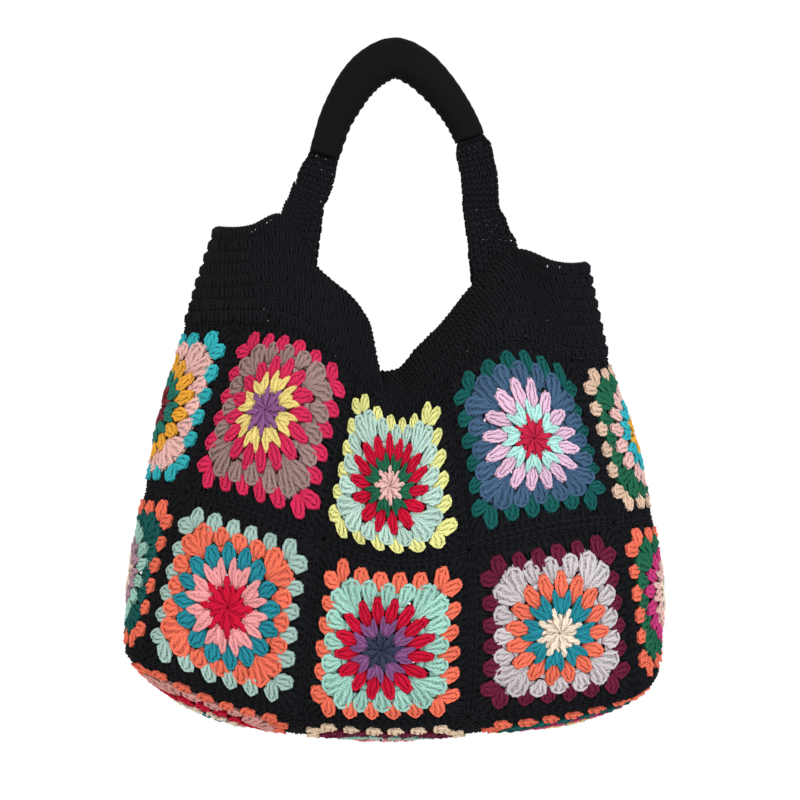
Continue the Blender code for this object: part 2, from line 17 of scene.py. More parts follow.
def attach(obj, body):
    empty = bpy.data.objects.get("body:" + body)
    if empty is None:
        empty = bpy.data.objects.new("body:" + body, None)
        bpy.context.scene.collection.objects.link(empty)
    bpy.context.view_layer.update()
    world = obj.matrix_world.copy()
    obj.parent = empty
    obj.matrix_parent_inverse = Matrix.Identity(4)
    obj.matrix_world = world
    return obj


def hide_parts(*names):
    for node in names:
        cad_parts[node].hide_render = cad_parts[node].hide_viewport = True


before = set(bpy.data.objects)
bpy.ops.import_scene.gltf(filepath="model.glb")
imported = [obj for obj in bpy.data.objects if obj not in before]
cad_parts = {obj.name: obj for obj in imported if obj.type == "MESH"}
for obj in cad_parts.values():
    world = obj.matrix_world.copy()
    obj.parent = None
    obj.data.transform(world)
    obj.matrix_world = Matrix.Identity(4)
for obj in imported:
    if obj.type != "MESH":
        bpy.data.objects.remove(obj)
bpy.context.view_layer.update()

MM = 0.001
print("nodes in the frame:", len(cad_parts))

# %% [markdown]
# ## Camera, floor and light
# The photograph looks at the bag from straight in front, at about half its height. A long lens from
# 1.8 m away gives the same mild perspective, and one pixel then covers 0.76 mm at the middle of the bag.

# %% Camera
PIXEL = 0.76 * MM  # what one pixel of the photograph covers at the middle of the bag
FRAME_PIXELS = 800
CAMERA_AWAY = 1.8
CAMERA_RIGHT, CAMERA_UP = 3.8 * MM, -244 * MM
SENSOR = 36.0
camera = bpy.data.objects.new("camera", bpy.data.cameras.new("camera"))
bpy.context.scene.collection.objects.link(camera)
camera.location = (CAMERA_RIGHT, -CAMERA_AWAY, CAMERA_UP)
camera.rotation_euler = (math.pi / 2, 0, 0)
camera.data.sensor_width = SENSOR
camera.data.lens = SENSOR * CAMERA_AWAY / (FRAME_PIXELS * PIXEL)
bpy.context.scene.camera = camera
print("lens", round(camera.data.lens, 1), "mm")

# %% [markdown]
# The background is white to the camera and a softer white as a light. The floor lies well below the bag,
# as it would under a bag on a hook, so that only a view from above takes it in.

# %% Background and floor
SKY_LIGHT = 1.08
FLOOR_DOWN = 0.80
FLOOR_HALF = 1.1


def white_sky():
    """A white background whose light is weaker than it looks."""
    world = bpy.data.worlds.new("white_sky")
    world.use_nodes = True
    nodes, links = world.node_tree.nodes, world.node_tree.links
    nodes.clear()
    seen, given = nodes.new("ShaderNodeBackground"), nodes.new("ShaderNodeBackground")
    chosen = nodes.new("ShaderNodeMixShader")
    seen.inputs["Color"].default_value = (1, 1, 1, 1)
    given.inputs["Color"].default_value = (1, 1, 1, 1)
    given.inputs["Strength"].default_value = SKY_LIGHT
    ray = nodes.new("ShaderNodeLightPath")
    out = nodes.new("ShaderNodeOutputWorld")
    links.new(ray.outputs["Is Camera Ray"], chosen.inputs["Fac"])
    links.new(given.outputs[0], chosen.inputs[1])
    links.new(seen.outputs[0], chosen.inputs[2])
    links.new(chosen.outputs[0], out.inputs["Surface"])
    return world


def plain_floor():
    """A pale floor under the hanging bag."""
    bm = bmesh.new()
    place = Matrix.Translation((0, 0, -FLOOR_DOWN))
    bmesh.ops.create_grid(bm, x_segments=1, y_segments=1, size=FLOOR_HALF, matrix=place)
    mesh = bpy.data.meshes.new("floor")
    bm.to_mesh(mesh)
    bm.free()
    paint = bpy.data.materials.new("pale_floor")
    paint.use_nodes = True
    paint.node_tree.nodes["Principled BSDF"].inputs["Base Color"].default_value = (0.86, 0.86, 0.85, 1)
    paint.node_tree.nodes["Principled BSDF"].inputs["Roughness"].default_value = 0.8
    mesh.materials.append(paint)
    floor = bpy.data.objects.new("floor", mesh)
    bpy.context.scene.collection.objects.link(floor)


bpy.context.scene.world = white_sky()
bpy.context.scene.view_settings.view_transform = "Standard"
plain_floor()
print("floor", FLOOR_DOWN, "m under the hook")

# %% [markdown]
# Two large soft lamps stand in front, one high on the left and a weaker one on the right, as in a plain
# product photograph. They are big so that each puff of yarn gets a soft shadow and no hard spot of light.
# A faint third one stands behind. The right lamp is a little blue: that
# side of the photograph's black yarn is.

# %% Lamps


def soft_lamp(name, place, size, watts, colour=(1, 1, 1)):
    """A square lamp that looks at the middle of the bag."""
    light = bpy.data.lights.new(name, "AREA")
    light.color = colour
    light.size = size
    light.energy = watts
    lamp = bpy.data.objects.new(name, light)
    bpy.context.scene.collection.objects.link(lamp)
    lamp.location = place
    toward = Vector((0, 0, CAMERA_UP)) - Vector(place)
    lamp.rotation_euler = toward.to_track_quat("-Z", "Y").to_euler()


soft_lamp("lamp_front_left", (-0.9, -1.7, 0.9), 0.8, 33)
soft_lamp("lamp_front_right", (1.3, -1.4, 0.1), 0.9, 31, (0.76, 0.90, 1.0))
soft_lamp("lamp_behind", (0.2, 1.6, 0.7), 0.9, 12)

# %% [markdown]
# ## Writing a material as sums
# Yarn needs a good deal of shader maths. A small class wraps one socket and overloads the usual operators,
# so that a line such as 1 - groove adds its Math node by itself. Every other node comes from one method.

# %% A recipe for a material


class Wire:
    """One socket of a node tree, used like a number."""

    def __init__(self, recipe, socket):
        self.recipe = recipe
        self.socket = socket

    def maths(self, operation, *values):
        made = self.recipe.node("Math", {"operation": operation}, dict(enumerate(values)))
        return Wire(self.recipe, made.outputs[0])

    def __add__(self, other):
        return self.maths("ADD", self, other)

    def __radd__(self, other):
        return self.maths("ADD", other, self)

    def __sub__(self, other):
        return self.maths("SUBTRACT", self, other)

    def __rsub__(self, other):
        return self.maths("SUBTRACT", other, self)

    def __mul__(self, other):
        return self.maths("MULTIPLY", self, other)

    def __rmul__(self, other):
        return self.maths("MULTIPLY", other, self)

    def sine(self):
        return self.maths("SINE", self)


class Recipe:
    """A material that is being written, with one method that adds any node."""

    def __init__(self, name):
        self.material = bpy.data.materials.new(name)
        self.material.use_nodes = True
        self.tree = self.material.node_tree
        self.surface = self.tree.nodes["Principled BSDF"]

    def node(self, kind, settings=None, inputs=None):
        """Adds a node, sets it up, and gives its sockets their values or links."""
        made = self.tree.nodes.new("ShaderNode" + kind)
        for key, value in (settings or {}).items():
            setattr(made, key, value)
        for key, value in (inputs or {}).items():
            self.feed(made.inputs[key], value)
        return made

    def feed(self, socket, value):
        """Links a wire to a socket, or sets a plain value on it."""
        if isinstance(value, Wire):
            self.tree.links.new(value.socket, socket)
        else:
            socket.default_value = value

    def wire(self, kind, output, settings=None, inputs=None):
        """Adds a node and gives one of its outputs as a wire."""
        return Wire(self, self.node(kind, settings, inputs).outputs[output])

    def blend(self, first, second, share):
        """A colour between two colours."""
        made = self.node("Mix", {"data_type": "RGBA"})
        for name, value in (("Factor_Float", share), ("A_Color", first), ("B_Color", second)):
            self.feed(next(item for item in made.inputs if item.identifier == name), value)
        return Wire(self, next(item for item in made.outputs if item.identifier == "Result_Color"))


print("recipe ready")

# %% [markdown]
# ## Yarn
# The cotton is spun from plies, which show as fine slanting lines along each stitch, and stray fibres
# blur its edge. Each vertex of the crochet carries two attributes: yarn says how far along its strand it
# lies and where round it, and tone is one number for each bunch of stitches. The slanting lines follow
# the yarn attribute, so they run true on every stitch, and the tone makes no two stitches quite alike. The
# grooves between the plies and the sides of each strand get painted shade. The yarn behind the stitches
# has a short attribute and is painted darker as shade, since little light gets down to it.

# %% Yarn material
PLIES = 4
TWIST_LENGTH = 11.0 * MM  # one full turn of the plies
PLY_DEPTH = 0.28 * MM
FIBRE_DEPTH = 0.12 * MM
GROOVE_SHADE = 0.30  # painted shade: how much darker the yarn is painted between its plies
SIDE_SHADE = 1.5  # painted shade: how much darker the sides of a strand are painted, where its neighbours stand close
PAD_SHADE = 1.1  # painted shade: how much darker the yarn of the pad behind the stitches is painted
PAD_REACH = 2.0  # how sharply the painted pad shade, found by the pad's short yarn attribute, is set off from the strands
BLACK_SIDES = 0.5  # black yarn gets less painted shade at its sides
TONE_SHADE = 0.14  # how much bunches differ from one another
FIBRE_SHADE = 0.20
PATCH_SHADE = 0.10
LIGHTEN = 0.30  # all of the yarn is lightened by this, so that only the painted shade in its hollows goes dark
DEEPEST = 0.35  # the darkest yarn, in painted shade and random tone, as a share of its own colour
FIBRE_SCALE, PATCH_SCALE = 1400.0, 60.0
YARNS = {
    "black": (0.0092, 0.0090, 0.0108),
    "cream": (0.90, 0.70, 0.54),
    "red": (0.62, 0.007, 0.036),
    "crimson": (0.57, 0.018, 0.058),
    "maroon": (0.23, 0.026, 0.042),
    "hot_pink": (0.68, 0.026, 0.094),
    "magenta": (0.65, 0.045, 0.20),
    "pink": (0.88, 0.33, 0.33),
    "pale_pink": (0.90, 0.52, 0.47),
    "lilac_pink": (0.80, 0.50, 0.64),
    "dusty_pink": (0.76, 0.35, 0.31),
    "coral": (0.93, 0.175, 0.10),
    "peach": (0.79, 0.52, 0.37),
    "gold": (0.92, 0.42, 0.045),
    "yellow": (0.89, 0.68, 0.22),
    "pale_yellow": (0.84, 0.80, 0.29),
    "mint": (0.37, 0.64, 0.53),
    "pale_mint": (0.39, 0.55, 0.48),
    "ice_mint": (0.48, 0.82, 0.72),
    "pale_aqua": (0.50, 0.68, 0.58),
    "turquoise": (0.038, 0.46, 0.50),
    "teal": (0.020, 0.25, 0.31),
    "green": (0.018, 0.135, 0.068),
    "sea_green": (0.025, 0.20, 0.15),
    "dark_teal": (0.009, 0.098, 0.088),
    "slate": (0.060, 0.115, 0.20),
    "navy": (0.040, 0.048, 0.090),
    "purple": (0.26, 0.092, 0.24),
    "mauve": (0.46, 0.28, 0.33),
    "taupe": (0.34, 0.215, 0.195),
    "grey": (0.62, 0.54, 0.54),
    "burgundy": (0.145, 0.013, 0.036),
    "ecru": (0.90, 0.66, 0.46),
}
dyed = {}


def dye(colour):
    """The material of one colour of yarn, made once."""
    if colour in dyed:
        return dyed[colour]
    recipe = Recipe(colour + "_yarn")
    base = (*YARNS[colour], 1)
    thread = recipe.wire("Attribute", "Vector", {"attribute_name": "yarn"})
    tone = recipe.wire("Attribute", "Fac", {"attribute_name": "tone"})
    parts = recipe.node("SeparateXYZ", None, {0: thread})
    along, across, out = (Wire(recipe, socket) for socket in parts.outputs)
    turn = out.maths("ARCTAN2", out, across)
    ply = 0.5 + 0.5 * (PLIES * turn + along * (2 * math.pi * PLIES / TWIST_LENGTH)).sine()
    place = recipe.wire("TexCoord", "Object")
    fibre = recipe.wire("TexNoise", "Fac", None, {"Vector": place, "Scale": FIBRE_SCALE, "Detail": 2.0})
    patch = recipe.wire("TexNoise", "Fac", None, {"Vector": place, "Scale": PATCH_SCALE, "Detail": 1.0})
    # Painted shade in the grooves between the plies
    painted_groove_shade = (1 - ply) * GROOVE_SHADE
    # Painted shade on the pad behind the stitches, found by its short yarn attribute
    painted_pad_shade = (1 - PAD_REACH * (across * across + out * out)).maths("MAXIMUM", 0.0)
    # Painted shade: each strand is darker round its sides and underside, where its neighbours and the cloth
    # stand close
    side = 0.5 - 0.5 * out
    side_shade = SIDE_SHADE * (BLACK_SIDES if colour == "black" else 1.0)
    # All painted shade: ply grooves, strand sides and the pad
    painted_shade = painted_groove_shade + side_shade * side * side + PAD_SHADE * painted_pad_shade
    # Painted shade plus random tone, fibre and patch variation, which mixes the colour towards a darker copy
    painted_shade_and_tone = painted_shade + TONE_SHADE * tone + FIBRE_SHADE * (1 - fibre) + PATCH_SHADE * patch - LIGHTEN
    shaded_and_toned_colour = tuple(DEEPEST * part for part in YARNS[colour]) + (1,)
    recipe.feed(recipe.surface.inputs["Base Color"], recipe.blend(base, shaded_and_toned_colour, painted_shade_and_tone))
    relief = ply * PLY_DEPTH + fibre * FIBRE_DEPTH
    bump = recipe.wire("Bump", "Normal", None, {"Height": relief, "Distance": 1.0, "Strength": 0.9})
    recipe.feed(recipe.surface.inputs["Normal"], bump)
    recipe.surface.inputs["Roughness"].default_value = 0.88
    recipe.surface.inputs["Specular IOR Level"].default_value = 0.05
    dyed[colour] = recipe.material
    return recipe.material


print("colours of yarn:", len(YARNS))

# %% [markdown]
# ## The form of the hanging bag
# The cloth is worked flat and then laid on the form of the hanging bag. The form is a smooth surface
# through the seams of the patchwork, whose places were chosen against the photograph. They are the
# same places as in the imported model, so each dressed piece lies just where its plain solid does. Only three
# points of the mouth's left edge lie 1 to 4 mm away, where they follow the photograph more closely.
# A place on the wall is told in squares: how far round the bag, from the front's left seam, and how high.

# %% Sizes and seams
SQUARE = 0.130
YOKE_HEIGHT = 0.074
FRONT_COLUMNS = 3
SIDE_COLUMNS = 1
ROUND_COLUMNS = 2 * (FRONT_COLUMNS + SIDE_COLUMNS)
BODY_ROWS = 2
RIM = BODY_ROWS + YOKE_HEIGHT / SQUARE
HALF_WAY = FRONT_COLUMNS + SIDE_COLUMNS / 2
BASE_SAG = 0.026
# Each row of a seam: the place round the bag, then how far right, how far forward and how high, in squares
BASE_SEAM = (
    (-0.5, -1.560, 0.000, -3.340),
    (0.0, -1.415, 0.446, -3.350),
    (0.5, -0.975, 0.477, -3.535),
    (1.0, -0.530, 0.492, -3.650),
    (1.5, -0.060, 0.492, -3.690),
    (2.0, 0.410, 0.492, -3.665),
    (2.5, 0.910, 0.477, -3.620),
    (3.0, 1.360, 0.446, -3.540),
    (3.5, 1.530, 0.000, -3.440),
)
MIDDLE_SEAM = (
    (-0.5, -1.445, 0.000, -2.400),
    (0.0, -1.180, 0.462, -2.405),
    (0.5, -0.800, 0.692, -2.500),
    (1.0, -0.395, 0.754, -2.645),
    (1.5, -0.006, 0.815, -2.755),
    (2.0, 0.410, 0.754, -2.705),
    (2.5, 0.830, 0.692, -2.615),
    (3.0, 1.235, 0.462, -2.570),
    (3.5, 1.488, 0.000, -2.560),
)
TOP_SEAM = (
    (-0.5, -1.215, 0.000, -1.435),
    (0.0, -0.880, 0.400, -1.438),
    (0.5, -0.535, 0.560, -1.490),
    (1.0, -0.225, 0.569, -1.740),
    (1.5, 0.025, 0.630, -1.950),
    (2.0, 0.285, 0.569, -1.765),
    (2.5, 0.645, 0.560, -1.530),
    (3.0, 1.000, 0.400, -1.650),
    (3.5, 1.230, 0.000, -1.615),
)
RIM_EDGE = (
    (-0.5, -1.033, 0.000, -0.868),
    (0.0, -0.815, 0.350, -0.880),
    (0.25, -0.660, 0.225, -0.810),
    (0.625, -0.470, 0.185, -1.100),
    (1.0, -0.210, 0.240, -1.345),
    (1.25, -0.160, 0.262, -1.535),
    (1.375, -0.192, 0.275, -1.700),
    (1.5, -0.082, 0.285, -1.726),
    (1.625, 0.034, 0.280, -1.702),
    (1.75, 0.118, 0.270, -1.604),
    (2.0, 0.265, 0.240, -1.455),
    (2.375, 0.460, 0.185, -1.215),
    (2.75, 0.710, 0.225, -1.012),
    (3.0, 0.900, 0.350, -1.085),
    (3.5, 1.110, 0.000, -1.073),
)


def cubic(start, end, leaving, arriving, t):
    """A cubic from start to end that leaves and arrives with the given slopes."""
    bend = t * t * (3 - 2 * t)
    return start * (1 - bend) + end * bend + t * (1 - t) ** 2 * leaving + t * t * (t - 1) * arriving


def smooth_through(stations, points, at):
    """Points at the places `at` on a smooth curve that passes through `points` at `stations`."""
    stations, points = np.asarray(stations, float), np.asarray(points, float)
    slopes = np.gradient(points, stations, axis=0, edge_order=2)
    first = np.clip(np.searchsorted(stations, at, side="right") - 1, 0, len(stations) - 2)
    span = (stations[first + 1] - stations[first])[:, None]
    t = (at - stations[first])[:, None] / span
    return cubic(points[first], points[first + 1], span * slopes[first], span * slopes[first + 1], t)


def whole_ring(edge):
    """Stations and points right round the bag: the front as given and the back as its mirror image."""
    front = [(place, (x, -forward, up)) for place, x, forward, up in edge]
    back = [(2 * HALF_WAY - place, (x, -y, z)) for place, (x, y, z) in reversed(front[1:-1])]
    turns = [(place + turn * ROUND_COLUMNS, point) for turn in (-1, 0, 1) for place, point in front + back]
    return [place for place, _ in turns], [[SQUARE * value for value in point] for _, point in turns]


LEVELS = np.array((0, 1, BODY_ROWS, RIM), float)
RINGS = [whole_ring(edge) for edge in (BASE_SEAM, MIDDLE_SEAM, TOP_SEAM, RIM_EDGE)]
print("seam points chosen by eye:", sum(len(edge) for edge in (BASE_SEAM, MIDDLE_SEAM, TOP_SEAM, RIM_EDGE)))

# %% [markdown]
# Between the seams the wall rises on smooth curves. The base is a patch between the four sides of its
# seam, and it sags, because the bag's weight hangs in it.

# %% Walls and base of the form


def body_form(place, level):
    """Points of the bag's wall."""
    rings = np.stack([smooth_through(stations, points, place) for stations, points in RINGS])
    slopes = np.gradient(rings, LEVELS, axis=0, edge_order=2)
    first = np.clip(np.searchsorted(LEVELS, level, side="right") - 1, 0, len(LEVELS) - 2)
    each = np.arange(len(place))
    span = (LEVELS[first + 1] - LEVELS[first])[:, None]
    t = (level - LEVELS[first])[:, None] / span
    leaving, arriving = span * slopes[first, each], span * slopes[first + 1, each]
    return cubic(rings[first, each], rings[first + 1, each], leaving, arriving, t)


def base_seam(place):
    """Points of the seam between the walls and the base."""
    return smooth_through(*RINGS[0], place)


def base_form(along, across):
    """Points of the base: `along` from left to right and `across` from front to back, in squares."""
    share, back = (along / FRONT_COLUMNS)[:, None], across[:, None]
    front_edge, back_edge = base_seam(along), base_seam(2 * HALF_WAY - along)
    left_edge, right_edge = base_seam(-across), base_seam(FRONT_COLUMNS + across)
    corners = base_seam(np.array([0.0, FRONT_COLUMNS, ROUND_COLUMNS - 1.0, FRONT_COLUMNS + 1.0]))
    near = corners[0] * (1 - share) + corners[1] * share
    far = corners[2] * (1 - share) + corners[3] * share
    patch = front_edge * (1 - back) + back_edge * back + left_edge * (1 - share) + right_edge * share
    sag = 4 * back * (1 - back) * (1 - (2 * share - 1) ** 6) * BASE_SAG
    return patch - near * (1 - back) - far * back - sag * np.array([0.0, 0.0, 1.0])


NUDGE = 0.002  # in squares, for reading slopes of the form
MITRE_REACH = 0.12  # in squares, how far from the base seam the cloth still leans to its mitre


def outward(form, first, second, flip):
    """Unit normals of a form, pointing out of the bag."""
    along = form(first + NUDGE, second) - form(first - NUDGE, second)
    up = form(first, second + NUDGE) - form(first, second - NUDGE)
    normal = np.cross(along, up) * flip
    return normal / np.linalg.norm(normal, axis=1)[:, None]


def base_normal(along, across):
    """The base's normal, read a little way in from its edges."""
    along = np.clip(along, MITRE_REACH, FRONT_COLUMNS - MITRE_REACH)
    across = np.clip(across, MITRE_REACH, SIDE_COLUMNS - MITRE_REACH)
    return outward(base_form, along, across, -1)


def seam_normal(place):
    """The direction that halves the angle between the wall and the base at their seam."""
    place = np.mod(place, ROUND_COLUMNS)
    along = np.where(place <= HALF_WAY, place, 2 * HALF_WAY - place)
    along = np.clip(np.where(place > ROUND_COLUMNS - 1, 0, along), 0, FRONT_COLUMNS)
    right, left = place - FRONT_COLUMNS, ROUND_COLUMNS - place
    across = np.where(place <= FRONT_COLUMNS, 0, np.where(place >= ROUND_COLUMNS - 1, left, right))
    across = np.clip(across, 0, SIDE_COLUMNS)
    both = outward(body_form, place, np.zeros(len(place)), 1) + base_normal(along, across)
    return both / np.linalg.norm(both, axis=1)[:, None]


def toward(normal, mitre, distance):
    """The normal, turned to the mitre's direction near the seam."""
    share = np.clip(distance / MITRE_REACH, 0, 1)[:, None]
    mixed = normal * share + mitre * (1 - share)
    return mixed / np.linalg.norm(mixed, axis=1)[:, None]


print("middle of the front:", np.round(body_form(np.array([1.5]), np.array([1.0]))[0], 3))

# %% [markdown]
# Laying cloth on the form takes flat points, whose third number is the height above the middle of the
# cloth, and gives their places on the bag. At the base seam the wall and the base turn towards each other,
# so that their edges meet on a mitre.

# %% Laying cloth on the form


def drape_wall(place, level, height):
    """Lays flat points on the wall of the bag."""
    normal = outward(body_form, place, level, 1)
    near = level < MITRE_REACH
    if near.any():
        normal[near] = toward(normal[near], seam_normal(place[near]), level[near])
    return body_form(place, level) + normal * height[:, None]


def drape_base(along, across, height):
    """Lays flat points on the base of the bag, below it."""
    edges = (
        (across, along),
        (1 - across, 2 * HALF_WAY - along),
        (along, ROUND_COLUMNS - across),
        (FRONT_COLUMNS - along, FRONT_COLUMNS + across),
    )
    nearest = np.full(len(along), 1.0)
    mitre = np.zeros((len(along), 3))
    for distance, place in edges:
        mitre += seam_normal(place) / (np.abs(distance) + NUDGE)[:, None] ** 2
        nearest = np.minimum(nearest, distance)
    mitre /= np.linalg.norm(mitre, axis=1)[:, None]
    mixed = toward(base_normal(along, across), mitre, nearest)
    return base_form(along, across) + mixed * height[:, None]


print("laid on the form:", np.round(drape_base(np.array([1.5]), np.array([0.5]), np.array([0.0]))[0], 3))

# %% [markdown]
# ## Stitches
# A strand of yarn is a closed tube: a circle is extruded from ring to ring, and each ring is moved to its
# place. A tall stitch is two strands that wind loosely round each other, and crochet works its stitches in
# bunches that share one foot. Each kind of bunch is made once and then laid wherever the pattern has it.

# %% Spinning a strand


def next_loop(bm, loop):
    """Extrudes a closed loop of vertices and gives the new loop in the same order."""
    edges = [bm.edges.get((loop[k - 1], vert)) for k, vert in enumerate(loop)]
    made = bmesh.ops.extrude_edge_only(bm, edges=edges)["geom"]
    new = {item for item in made if isinstance(item, bmesh.types.BMVert)}
    return [next(e.other_vert(v) for e in v.link_edges if e.other_vert(v) in new) for v in loop]


def unit(vectors):
    """The same directions at length one."""
    return vectors / np.linalg.norm(vectors, axis=1)[:, None]


def spin_strand(bm, path, wide, thick, sides, closed=False, unshaded_length=1.0):
    """A strand through the points of path, half as wide as wide across the cloth and as thick out of it."""
    layer = bm.verts.layers.float_vector.get("yarn") or bm.verts.layers.float_vector.new("yarn")
    path = np.asarray(path, float)
    if closed:
        ahead = unit(np.roll(path, -1, axis=0) - np.roll(path, 1, axis=0))
    else:
        ahead = unit(np.gradient(path, axis=0))
    out = unit(np.array([0, 0, 1.0]) - ahead * ahead[:, 2:])
    side = np.cross(ahead, out)
    along = np.concatenate([[0], np.cumsum(np.linalg.norm(np.diff(path, axis=0), axis=1))])
    loop = bmesh.ops.create_circle(bm, radius=1, segments=sides)["verts"]
    first = loop
    for ring in range(len(path)):
        loop = next_loop(bm, loop) if ring else loop
        for k, vert in enumerate(loop):
            c, s = math.cos(2 * math.pi * k / sides), math.sin(2 * math.pi * k / sides)
            vert.co = path[ring] + side[ring] * wide[ring] * c + out[ring] * thick[ring] * s
            # A yarn attribute shorter than one marks yarn that its material paints in shade
            vert[layer] = (along[ring], unshaded_length * c, unshaded_length * s)
    ends = [[bm.edges.get((ring[k - 1], vert)) for k, vert in enumerate(ring)] for ring in (first, loop)]
    if closed:
        bmesh.ops.bridge_loops(bm, edges=ends[0] + ends[1])
    else:
        for end in ends:
            bmesh.ops.edgeloop_fill(bm, edges=end)


class Stitch:
    """A finished stitch or bunch of stitches: its mesh and, for each vertex, its place on the yarn."""

    def __init__(self, name, bm, length):
        bmesh.ops.recalc_face_normals(bm, faces=bm.faces)
        for face in bm.faces:
            face.smooth = True
        self.length = length
        self.mesh = bpy.data.meshes.new(name)
        bm.to_mesh(self.mesh)
        self.faces = len(bm.faces)
        bm.free()
        self.yarn = np.zeros(3 * len(self.mesh.vertices))
        self.mesh.attributes["yarn"].data.foreach_get("vector", self.yarn)
        self.mesh.attributes.remove(self.mesh.attributes["yarn"])


print("strands can be spun")

# %% [markdown]
# A bunch has a foot, a belly and a head, each with its own width: a petal ends in a point, a puff closes
# again at its head. The middle stitch stands proudest. Behind the stitches lies the yarn that is wrapped
# round them, a soft pad in the same colour, so that nothing shines through between them. Over the head of a
# puff lies a cap, the loop of the chain that the hook draws over the stitches to gather them.

# %% Bunches of tall stitches
STRAND_SIDES = 5
THICK = 2.3 * MM  # half the thickness of a tall stitch at its fullest
ARCH = 1.9 * MM  # how far the belly of a bunch stands out of the cloth
TILT = 1.1 * MM  # how far the foot of a bunch lies below its head
WIND = 0.36  # how far, in radians for each millimetre, the two strands of a stitch wind round each other
STRAND_SHARE = 0.58  # a strand's width as a share of its stitch's
APART = 0.42  # how far each strand lies from the stitch's middle, as a share of its width
PAD_SHARE = 0.86  # the pad's width as a share of the bunch's
PAD_DEPTH = 0.75  # the pad's thickness as a share of a stitch's
PAD_SHADE_LENGTH = 0.25  # the length of the pad's yarn attribute, kept short so that the yarn material paints the pad in shade
CAP_PLACE = 0.95  # how far along the bunch its cap lies
CAP_DROP = 0.16  # how far the ends of a cap hang down, as a share of the bunch's length
CAP_HEIGHT, CAP_BEND = 2.5, 1.4  # the cap's height above the cloth, and how much lower its ends are, in mm
END_CUT = 0.12  # how much of each half of a round profile is cut off at a bunch's ends


def through_three(low, middle, high, t):
    """The value at t of the curve through three values."""
    return low * (1 - t) * (1 - 2 * t) + 4 * middle * t * (1 - t) + high * t * (2 * t - 1)


def tall_stitch(bm, path, wide, thick, angle, sides=STRAND_SIDES):
    """Two strands that wind round the line of the stitch."""
    for hand in (-1, 1):
        offset = np.stack([wide * np.cos(angle), 0 * angle, thick * np.sin(angle)], axis=1)
        girth = STRAND_SHARE * (0.85 * wide + 0.25 * thick)
        spin_strand(bm, path + hand * APART * offset, girth, STRAND_SHARE * thick, sides)


def cap(bm, length, half):
    """The loop over the head of a puff, in mm."""
    across = np.array([-1, -0.62, 0, 0.62, 1])
    along = length * (CAP_PLACE - CAP_DROP * across ** 2)
    height = CAP_HEIGHT - CAP_BEND * across ** 2
    path = np.stack([across * half, along, height], axis=1) * MM
    girth = np.array([0.8, 1.2, 1.3, 1.2, 0.8]) * MM
    spin_strand(bm, path, girth, girth, STRAND_SIDES)


def bunch(
    name, posts, length, spread, width, belly=0.5, capped=0.0, rings=5, sides=STRAND_SIDES, padded=True
):
    """Tall stitches worked into one place; spread and width are given at foot, belly and head, in mm."""
    bm = bmesh.new()
    half_turn = math.pi * (END_CUT + (1 - 2 * END_CUT) * np.linspace(0, 1, rings))
    t = 0.5 - 0.5 * np.cos(half_turn) / math.cos(END_CUT * math.pi)
    rise = t ** (math.log(0.5) / math.log(belly))
    reach = through_three(*spread, rise) * MM
    wide = through_three(*width, rise) * MM
    bulge = np.sin(math.pi * (0.08 + 0.84 * t))
    thick = THICK * (0.40 + 0.60 * bulge)
    arch = ARCH * bulge + TILT * (t - 0.5)
    for post in range(posts):
        across = 0 if posts == 1 else 2 * post / (posts - 1) - 1
        path = np.stack([across * reach, t * length * MM, arch * (1 - 0.4 * across * across)], axis=1)
        tall_stitch(bm, path, wide, thick, WIND * length * t - 0.7 + 0.9 * across, sides)
    if padded:
        # The pad has its bunch's colour and is painted darker as shade through its short yarn attribute
        path = np.stack([0 * t, (0.02 + 0.96 * t) * length * MM, arch * 0.2], axis=1)
        rounding = np.sqrt(1 - np.abs(2 * t - 1) ** 6 * 0.8)
        spin_strand(bm, path, PAD_SHARE * (reach + wide) * rounding, PAD_DEPTH * thick, 6, unshaded_length=PAD_SHADE_LENGTH)
    if capped:
        cap(bm, length, capped)
    return Stitch(name, bm, length * MM)


RAY = bunch("ray", 1, 22, (0, 0, 0), (1.0, 3.3, 2.2), rings=5)
PETAL = bunch("petal", 2, 17.0, (0.9, 1.9, 0.2), (1.5, 2.0, 0.8), belly=0.48, rings=5)
FORK = bunch("fork", 1, 13.0, (0, 0, 0), (2.0, 3.2, 2.4), rings=4)
OVAL = bunch("oval", 3, 19.5, (1.0, 3.8, 2.0), (1.3, 2.5, 1.5), belly=0.48, capped=3.2)
FAN = bunch("fan", 3, 16.0, (1.3, 5.0, 3.6), (1.5, 2.8, 2.1), belly=0.56, capped=5.2)
LOBE_FAN = bunch("lobe_fan", 3, 25.5, (1.0, 5.6, 4.2), (1.3, 3.0, 2.3), belly=0.62, capped=5.8, rings=6)
PUFF = bunch("puff", 3, 16.5, (0.7, 4.6, 1.6), (1.2, 2.7, 1.3), belly=0.52, capped=3.4)
EDGE_FAN = bunch("edge_fan", 3, 15.5, (1.6, 4.8, 5.4), (1.3, 2.5, 2.5), rings=4, sides=4, padded=False)
print("faces of a puff:", PUFF.faces)

# %% [markdown]
# Short stitches, as in the straps, show a V on the face of the cloth. The two strands of the V are simple,
# because there are hundreds of them.

# %% Short stitches
V_WIDTH = 4.8 * MM
V_HEIGHT = 4.6 * MM


def v_stitch(name, width, height, thick, sides):
    """Two short strands that meet at the foot of a V."""
    bm = bmesh.new()
    for hand in (-1, 1):
        path = np.array([
            (hand * 0.10 * width, -0.12 * height, -0.1 * thick),
            (hand * 0.30 * width, 0.50 * height, 0.35 * thick),
            (hand * 0.42 * width, 1.12 * height, -0.2 * thick),
        ])
        girth = np.array([0.20, 0.32, 0.20]) * width
        depth = np.array([0.45, 0.85, 0.5]) * thick
        spin_strand(bm, path, girth, depth, sides)
    return Stitch(name, bm, height)


V = v_stitch("v", V_WIDTH, V_HEIGHT, 2.1 * MM, 5)
EDGE_V = v_stitch("edge_v", 3.9 * MM, 4.65 * MM, 1.6 * MM, 4)
print("faces of a V:", V.faces)

